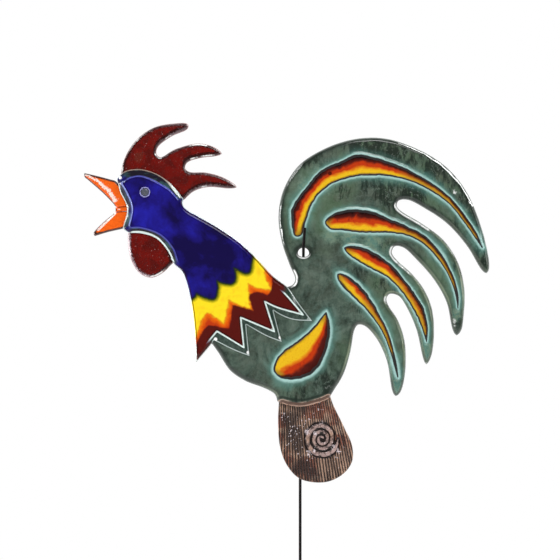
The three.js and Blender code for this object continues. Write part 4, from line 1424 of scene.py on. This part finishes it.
class ROOSTER_OT_eye(bpy.types.Operator):
    """Raised ring of the eye and the bead inside it"""
    bl_idname = "rooster.eye"
    bl_label = "Eye"
    bl_options = {"REGISTER", "UNDO"}

    sunk = 0.3               # how deep the eye sits in the neck's glaze
    ring_width = 1.35
    gap = 0.25               # between the ring and the bead
    wall = 0.4               # upright part of the bead's side

    def execute(self, context):
        c = colours()
        low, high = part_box("eye_ring")
        middle = np.array([(low.x + high.x) / 2, (low.z + high.z) / 2]) / MM
        back, front = planes("eye_ring")
        seat = back + self.sunk
        outer = 0.94 * (high.x - low.x) / 2 / MM
        half = self.ring_width / 2
        ring = [(outer, 0)]
        for angle in (math.pi * k / 10 for k in range(11)):
            ring.append((outer - half + half * math.cos(angle), self.sunk + (back - front) * math.sin(angle)))
        ring.append((outer - self.ring_width, 0))
        radius = outer - self.ring_width - self.gap
        top = planes("eye_bead")[0] - planes("eye_bead")[1] + 0.2
        bead = [(radius, 0), (radius, self.wall)]
        for angle in (math.pi / 2 * k / 8 for k in range(1, 8)):
            bead.append((radius * math.cos(angle), self.wall + (top - self.wall) * math.sin(angle)**0.8))
        bead += [(0.9, top - 0.05), (0.45, top - 0.3), (0, top - 0.35), (0, 0)]
        ring_finish = eye_glaze("eye_ring_glaze", c.lilac, c.pupil)
        bead_finish = eye_glaze("eye_bead_glaze", c.pupil, scaled(c.pupil, 0.35))
        self.turned("eye_rim", ring, middle, seat, ring_finish, "eye_ring")
        self.turned("eye_pupil", bead, middle, seat, bead_finish, "eye_bead")
        return {"FINISHED"}

    def turned(self, name, profile, middle, seat, finish, node):
        """A profile of radius and height turned about an axis that points to the front."""
        sides = 40
        vertices, rows = [], []
        for radius, height in profile:
            count = sides if radius > 0 else 1
            rows.append([len(vertices) + k % count for k in range(sides)])
            for k in range(count):
                angle = 2 * math.pi * k / sides
                vertices.append((middle[0] + radius * math.cos(angle), seat - height,
                                 middle[1] + radius * math.sin(angle)))
        faces = []
        for low, high in zip(rows, rows[1:] + rows[:1]):
            for k in range(sides):
                face = [low[k], low[(k + 1) % sides], high[(k + 1) % sides], high[k]]
                face = list(dict.fromkeys(face))
                if len(face) > 2:
                    faces.append(face)
        object_of(name, vertices, faces, {}, finish, node, "eye_glaze")


class ROOSTER_OT_stump(bpy.types.Operator):
    """Stump with combed bark and the coil of its knot"""
    bl_idname = "rooster.stump"
    bl_label = "Stump"
    bl_options = {"REGISTER", "UNDO"}

    # The knot's coil by its turns: distance from the middle and width, as shares of the knot's radius
    windings = (0.1, 0.4, 1.0, 1.3, 2.0, 2.3, 3.0)
    reaches = (0.06, 0.2, 0.26, 0.45, 0.5, 0.78, 0.83)
    widths = (0.14, 0.17, 0.19, 0.2, 0.2, 0.26, 0.26)

    fan = 0.0036             # spread of the ridges per millimetre
    upright = -28            # where the ridges stand upright, across
    edge = 1.6               # rounding of the stump's edge

    # Dark, red, light and smooth patches, and places of painted glints: x and z, radius, strength
    burnt_places = [(-14, -182, 10, 1.0), (-10, -200, 11, 1.2), (-5, -212, 10, 1.1), (-2, -236, 12, 1.0),
                    (10, -244, 10, 0.9), (-2, -172, 8, 0.7), (30, -232, 14, 0.5), (44, -218, 10, 0.4)]
    iron_places = [(16, -170, 12, 0.8), (34, -178, 9, 0.8), (-24, -186, 7, 0.8), (-18, -228, 9, 0.7),
                   (4, -238, 13, 0.9), (40, -205, 7, 0.6), (-25, -206, 8, 0.5)]
    light_places = [(8, -178, 12, 1.0), (24, -176, 10, 1.0), (40, -195, 9, 0.9), (46, -212, 9, 0.6),
                    (36, -236, 12, 0.6)]
    smooth_places = [(31, -200, 5, 0.9), (6, -206, 6, 0.9), (8, -215, 5, 0.7)]
    glint_places = [(-18, -182, 9, 1.0), (-12, -196, 9, 1.0), (-8, -212, 9, 0.8), (2, -186, 9, 0.9),
                    (12, -178, 9, 0.6), (4, -226, 7, 1.0), (36, -224, 7, 0.9), (14, -168, 7, 0.8),
                    (4, -197, 3.2, 3.0), (12.5, -198, 3, 3.0), (33, -213, 3.2, 2.8), (5, -221, 3.2, 2.8),
                    (39, -217.5, 3, 2.6), (20, -187, 3, 2.0), (13, -219, 3, 2.0), (-4, -199, 2, 2.2),
                    (-5, -222, 2, 2.4)]

    def execute(self, context):
        size = sizes()
        finish = bark_clay()
        loops = outlines("stump")
        knot = HOLE + np.array(KNOT)
        knot_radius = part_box("stump_knot")[1].x / MM - knot[0]
        low, high = loops[0].min(0), loops[0].max(0)
        rows = np.arange(low[1], high[1], 1.5)
        across = np.arange(low[0], high[0], size.bark_pitch / 5)
        fill = np.stack(np.meshgrid(across, rows), axis=2).reshape(-1, 2)
        fill = fill[inside(fill, loops)]
        fill = fill[Edge(loops).distance(fill) > 2.0]
        loose = np.concatenate([rings(loops, rounding(self.edge)), fill])
        points, faces = triangles(loops, [], loose)
        rim = Edge(loops).distance(points)
        ridge = self.ridges(points, size)
        spine, widths, _ = self.spiral(knot, knot_radius)
        away = (np.linalg.norm(points[:, None] - spine, axis=2) - widths / 2).min(1)
        clear = np.clip((away - 0.4) / 1.2, 0, 1)
        ring = swell(away - 0.6, 1.0)

        back, front = planes("stump")
        fade = np.clip(rim / 2.5, 0, 1)
        height = back - front - drop(rim, self.edge) - size.bark_depth * (1 - ridge * clear) * fade
        height -= 0.9 * ring * fade
        behind = back - drop(rim, size.back_rim)

        ridge = np.clip((ridge + 0.2 * patches(points, self.light_places)) * clear - 0.8 * ring, 0, 1)
        traits = {"ridge": (ridge, 0.5),
                  "burnt": (patches(points, self.burnt_places), 0),
                  "iron": (patches(points, self.iron_places), 0),
                  "glint": (patches(points, self.glint_places), 0),
                  "ash": (0, 0),
                  "bare": (0, bare_back(rim))}
        slab("bark_stump", points, faces, back - height, behind, traits, finish, "stump", "bark_clay")
        self.coil(knot, knot_radius, front + size.bark_depth - 0.1, finish, size)
        return {"FINISHED"}

    def ridges(self, points, size):
        """Combed ridges that stand upright on the left and lean outwards on the right, 0 in a groove to 1."""
        top = points[:, 1].max()
        reach = self.fan * (top - points[:, 1])
        left = HOLE[0] + self.upright
        lane = (points[:, 0] - left) / (1 + reach) / size.bark_pitch * 1.14
        lane = lane + 0.28 * bumps(points, 22, 1.5)
        wave = 0.5 + 0.5 * np.cos(2 * math.pi * lane)
        number = np.round(lane)
        own = np.array([noise.noise((n * 3.7, z / 17, 4.5)) for n, z in zip(number, points[:, 1])])
        chips = bumps(points, 3.2, 7.5)
        return np.clip(wave**0.8 * (0.8 + 0.5 * own) + 0.14 * chips, 0, 1)

    def spiral(self, middle, radius):
        """Points along the coil's middle line, its width there, and how far it tapers off at its ends."""
        share = np.linspace(0, 1, 321)
        turns = self.windings[0] + (self.windings[-1] - self.windings[0]) * share
        reach = radius * np.interp(turns, self.windings, self.reaches)
        taper = np.minimum(1, np.minimum(share / 0.04 + 0.3, (1 - share) / 0.05 + 0.2))
        width = radius * np.interp(turns, self.windings, self.widths) * taper
        width *= 1 + 0.08 * np.array([noise.noise((i * 0.11, 3.5, 0.5)) for i in range(len(share))])
        angle = 2 * math.pi * turns
        return middle + reach[:, None] * np.stack([np.cos(angle), np.sin(angle)], axis=1), width, taper

    def coil(self, middle, radius, seat, finish, size):
        """The knot's coil: a flat strip that winds outwards in rings and thins out at both ends."""
        arcs = 14
        vertices, ridge, faces = [], [], []
        spine, widths, tapers = self.spiral(middle, radius)
        steps = len(spine) - 1
        for spot, width, taper in zip(spine, widths, tapers):
            outwards = (spot - middle) / np.linalg.norm(spot - middle)
            for k in range(arcs + 1):
                turn = math.pi * k / arcs
                x, z = spot - outwards * min(width / 2, np.linalg.norm(spot - middle) - 0.1) * math.cos(turn)
                pits = 0.2 * noise.noise((x / 1.6, z / 1.6, 2.5)) + 0.16 * noise.noise((x / 4, z / 4, 6.5))
                lift = size.coil_height * taper * math.sin(turn)**0.6
                vertices.append((x, seat - lift * (1 + pits), z))
                ridge.append(min(1, math.sin(turn)**0.8 * (0.8 + 3 * pits)))
        row = arcs + 1
        for i in range(steps):
            for k in range(arcs):
                a = i * row + k
                faces.append((a, a + row, a + row + 1, a + 1))
            faces.append((i * row + arcs, i * row + arcs + row, i * row + row, i * row))
        faces.append(tuple(range(row)))
        faces.append(tuple(range(steps * row + arcs, steps * row - 1, -1)))
        spots = np.array(vertices)[:, [0, 2]]
        traits = {"ridge": ridge, "burnt": 0.2, "iron": 0.1, "bare": 0,
                  "glint": np.maximum(patches(spots, self.glint_places), 0.5),
                  "ash": 1 - patches(spots, self.smooth_places)}
        object_of("bark_knot", vertices, faces, traits, finish, "stump_knot", "bark_clay")


class ROOSTER_OT_rod(bpy.types.Operator):
    """Dark steel of the support rod, which keeps its CAD shape"""
    bl_idname = "rooster.rod"
    bl_label = "Support rod"
    bl_options = {"REGISTER", "UNDO"}

    def execute(self, context):
        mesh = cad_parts["support_rod"].data
        mesh.materials.clear()
        mesh.materials.append(rod_steel())
        mesh.shade_smooth()
        mesh.set_sharp_from_angle(angle=math.radians(40))
        return {"FINISHED"}


class ROOSTER_OT_stage(bpy.types.Operator):
    """Camera, soft lamps, white room and pale floor"""
    bl_idname = "rooster.stage"
    bl_label = "Stage"
    bl_options = {"REGISTER", "UNDO"}

    figure_front = -0.016    # along y
    rim_lamp_width = 0.6

    # Lamps just behind the figure that shine on its rims: place, and share of their power
    rim_lamps = {"left_lamp": ((-1.5, 0.2, 0.4), 1.0), "upper_left_lamp": ((-1.15, 0.2, 1.4), 0.4),
                 "upper_right_lamp": ((1.25, 0.2, 1.25), 1.0), "top_right_lamp": ((1.0, 0.2, 1.9), 1.2)}

    def execute(self, context):
        scene = context.scene
        stage = scene.rooster_stage
        scene.view_settings.view_transform = "Standard"
        target = Vector((stage.view_across, self.figure_front, stage.view_height))
        camera = bpy.data.cameras.new("photo_camera")
        camera.sensor_width = 36
        camera.lens = camera.sensor_width * stage.camera_distance / stage.view_width
        holder = bpy.data.objects.new("photo_camera", camera)
        holder.location = target - Vector((0, stage.camera_distance, 0))
        holder.rotation_euler = (math.pi / 2, 0, 0)
        scene.collection.objects.link(holder)
        scene.camera = holder
        self.lamp("key_lamp", (-1.6, -1.5, 1.9), 0.6, stage.key_power, target)
        self.lamp("fill_lamp", (1.9, -1.2, 0.75), 0.7, stage.fill_power, target)
        self.lamp("front_lamp", (0.3, -1.9, 1.5), 0.7, stage.front_power, target)
        for name, (place, share) in self.rim_lamps.items():
            self.lamp(name, place, self.rim_lamp_width, stage.rim_power * share, target)
        self.room(stage.ambient)
        self.floor()
        return {"FINISHED"}

    def lamp(self, name, place, width, power, target):
        light = bpy.data.lights.new(name, "AREA")
        light.size = width
        light.energy = power
        holder = bpy.data.objects.new(name, light)
        holder.location = place
        holder.rotation_euler = (target - Vector(place)).to_track_quat("-Z", "Y").to_euler()
        bpy.context.scene.collection.objects.link(holder)

    def room(self, ambient):
        """White for the camera; gloss sees white beside and behind the figure and a dim room in front."""
        world = bpy.data.worlds.new("white_room")
        bpy.context.scene.world = world
        world.use_nodes = True
        room = Nodes(world.node_tree)
        camera, gloss, glass = room.rays()
        way = room.node("TexCoord", output="Generated")
        forward = room.node("SeparateXYZ", {}, {0: way}, output="Y")
        behind = room.step(forward, -0.45, 0.25)
        seen = camera + glass + gloss * behind
        strength = seen + (1 - seen) * ambient * (1 - gloss * 0.75)
        background = room.node("Background", {}, {"Color": (1, 1, 1), "Strength": strength})
        room.node("OutputWorld", {}, {"Surface": background})

    def floor(self):
        """A pale round floor that keeps the shadow near the rod and runs out into the white room."""
        radius, sides = 3.0, 64
        ground = CAD_BOX[0].z
        turns = [2 * math.pi * k / sides for k in range(sides)]
        corners = [(radius * math.cos(turn), radius * math.sin(turn), ground) for turn in turns]
        mesh = bpy.data.meshes.new("floor")
        mesh.from_pydata(corners, [], [tuple(range(sides))])
        f = Finish("pale_floor", Specular_IOR_Level=0.1)
        pale = f.shader(f.blend(f.noise(40, 4), (0.8, 0.8, 0.8), (0.86, 0.86, 0.86)), 0.8)
        away = f.node("VectorMath", {"operation": "LENGTH"}, {0: f.place}, output="Value")
        camera, gloss, glass = f.rays()
        share = (camera + gloss + glass) * (0.5 + 0.5 * f.step(away, 0.5, 1.5))
        mixed = f.node("MixShader", {}, {0: share, 1: pale, 2: f.node("Emission")})
        mesh.materials.append(f.surface(mixed))
        floor = bpy.data.objects.new("floor", mesh)
        bpy.context.scene.collection.objects.link(floor)


OPERATORS = [ROOSTER_OT_stage, ROOSTER_OT_body, ROOSTER_OT_flames, ROOSTER_OT_head, ROOSTER_OT_neck,
             ROOSTER_OT_comb, ROOSTER_OT_beak, ROOSTER_OT_eye, ROOSTER_OT_stump, ROOSTER_OT_rod]
GROUPS = {"rooster_sizes": RoosterSizes, "rooster_colours": RoosterColours, "rooster_stage": RoosterStage}


class ROOSTER_PT_panel(bpy.types.Panel):
    """Pieces of the rooster and what can be changed on them"""
    bl_idname = "ROOSTER_PT_panel"
    bl_label = "Rooster"
    bl_space_type = "VIEW_3D"
    bl_region_type = "UI"
    bl_category = "Rooster"

    def draw(self, context):
        for operator in OPERATORS:
            self.layout.operator(operator.bl_idname)
        for name, group in GROUPS.items():
            box = self.layout.box()
            for key in group.__annotations__:
                box.prop(getattr(context.scene, name), key)


def register():
    for group in GROUPS.values():
        bpy.utils.register_class(group)
    for name, group in GROUPS.items():
        setattr(bpy.types.Scene, name, bpy.props.PointerProperty(type=group))
    for operator in OPERATORS:
        bpy.utils.register_class(operator)
    bpy.utils.register_class(ROOSTER_PT_panel)


def unregister():
    bpy.utils.unregister_class(ROOSTER_PT_panel)
    for operator in reversed(OPERATORS):
        bpy.utils.unregister_class(operator)
    for name, group in GROUPS.items():
        delattr(bpy.types.Scene, name)
        bpy.utils.unregister_class(group)


def main():
    register()
    for operator in OPERATORS:
        group, name = operator.bl_idname.split(".")
        getattr(getattr(bpy.ops, group), name)()


if __name__ == "__main__":
    main()
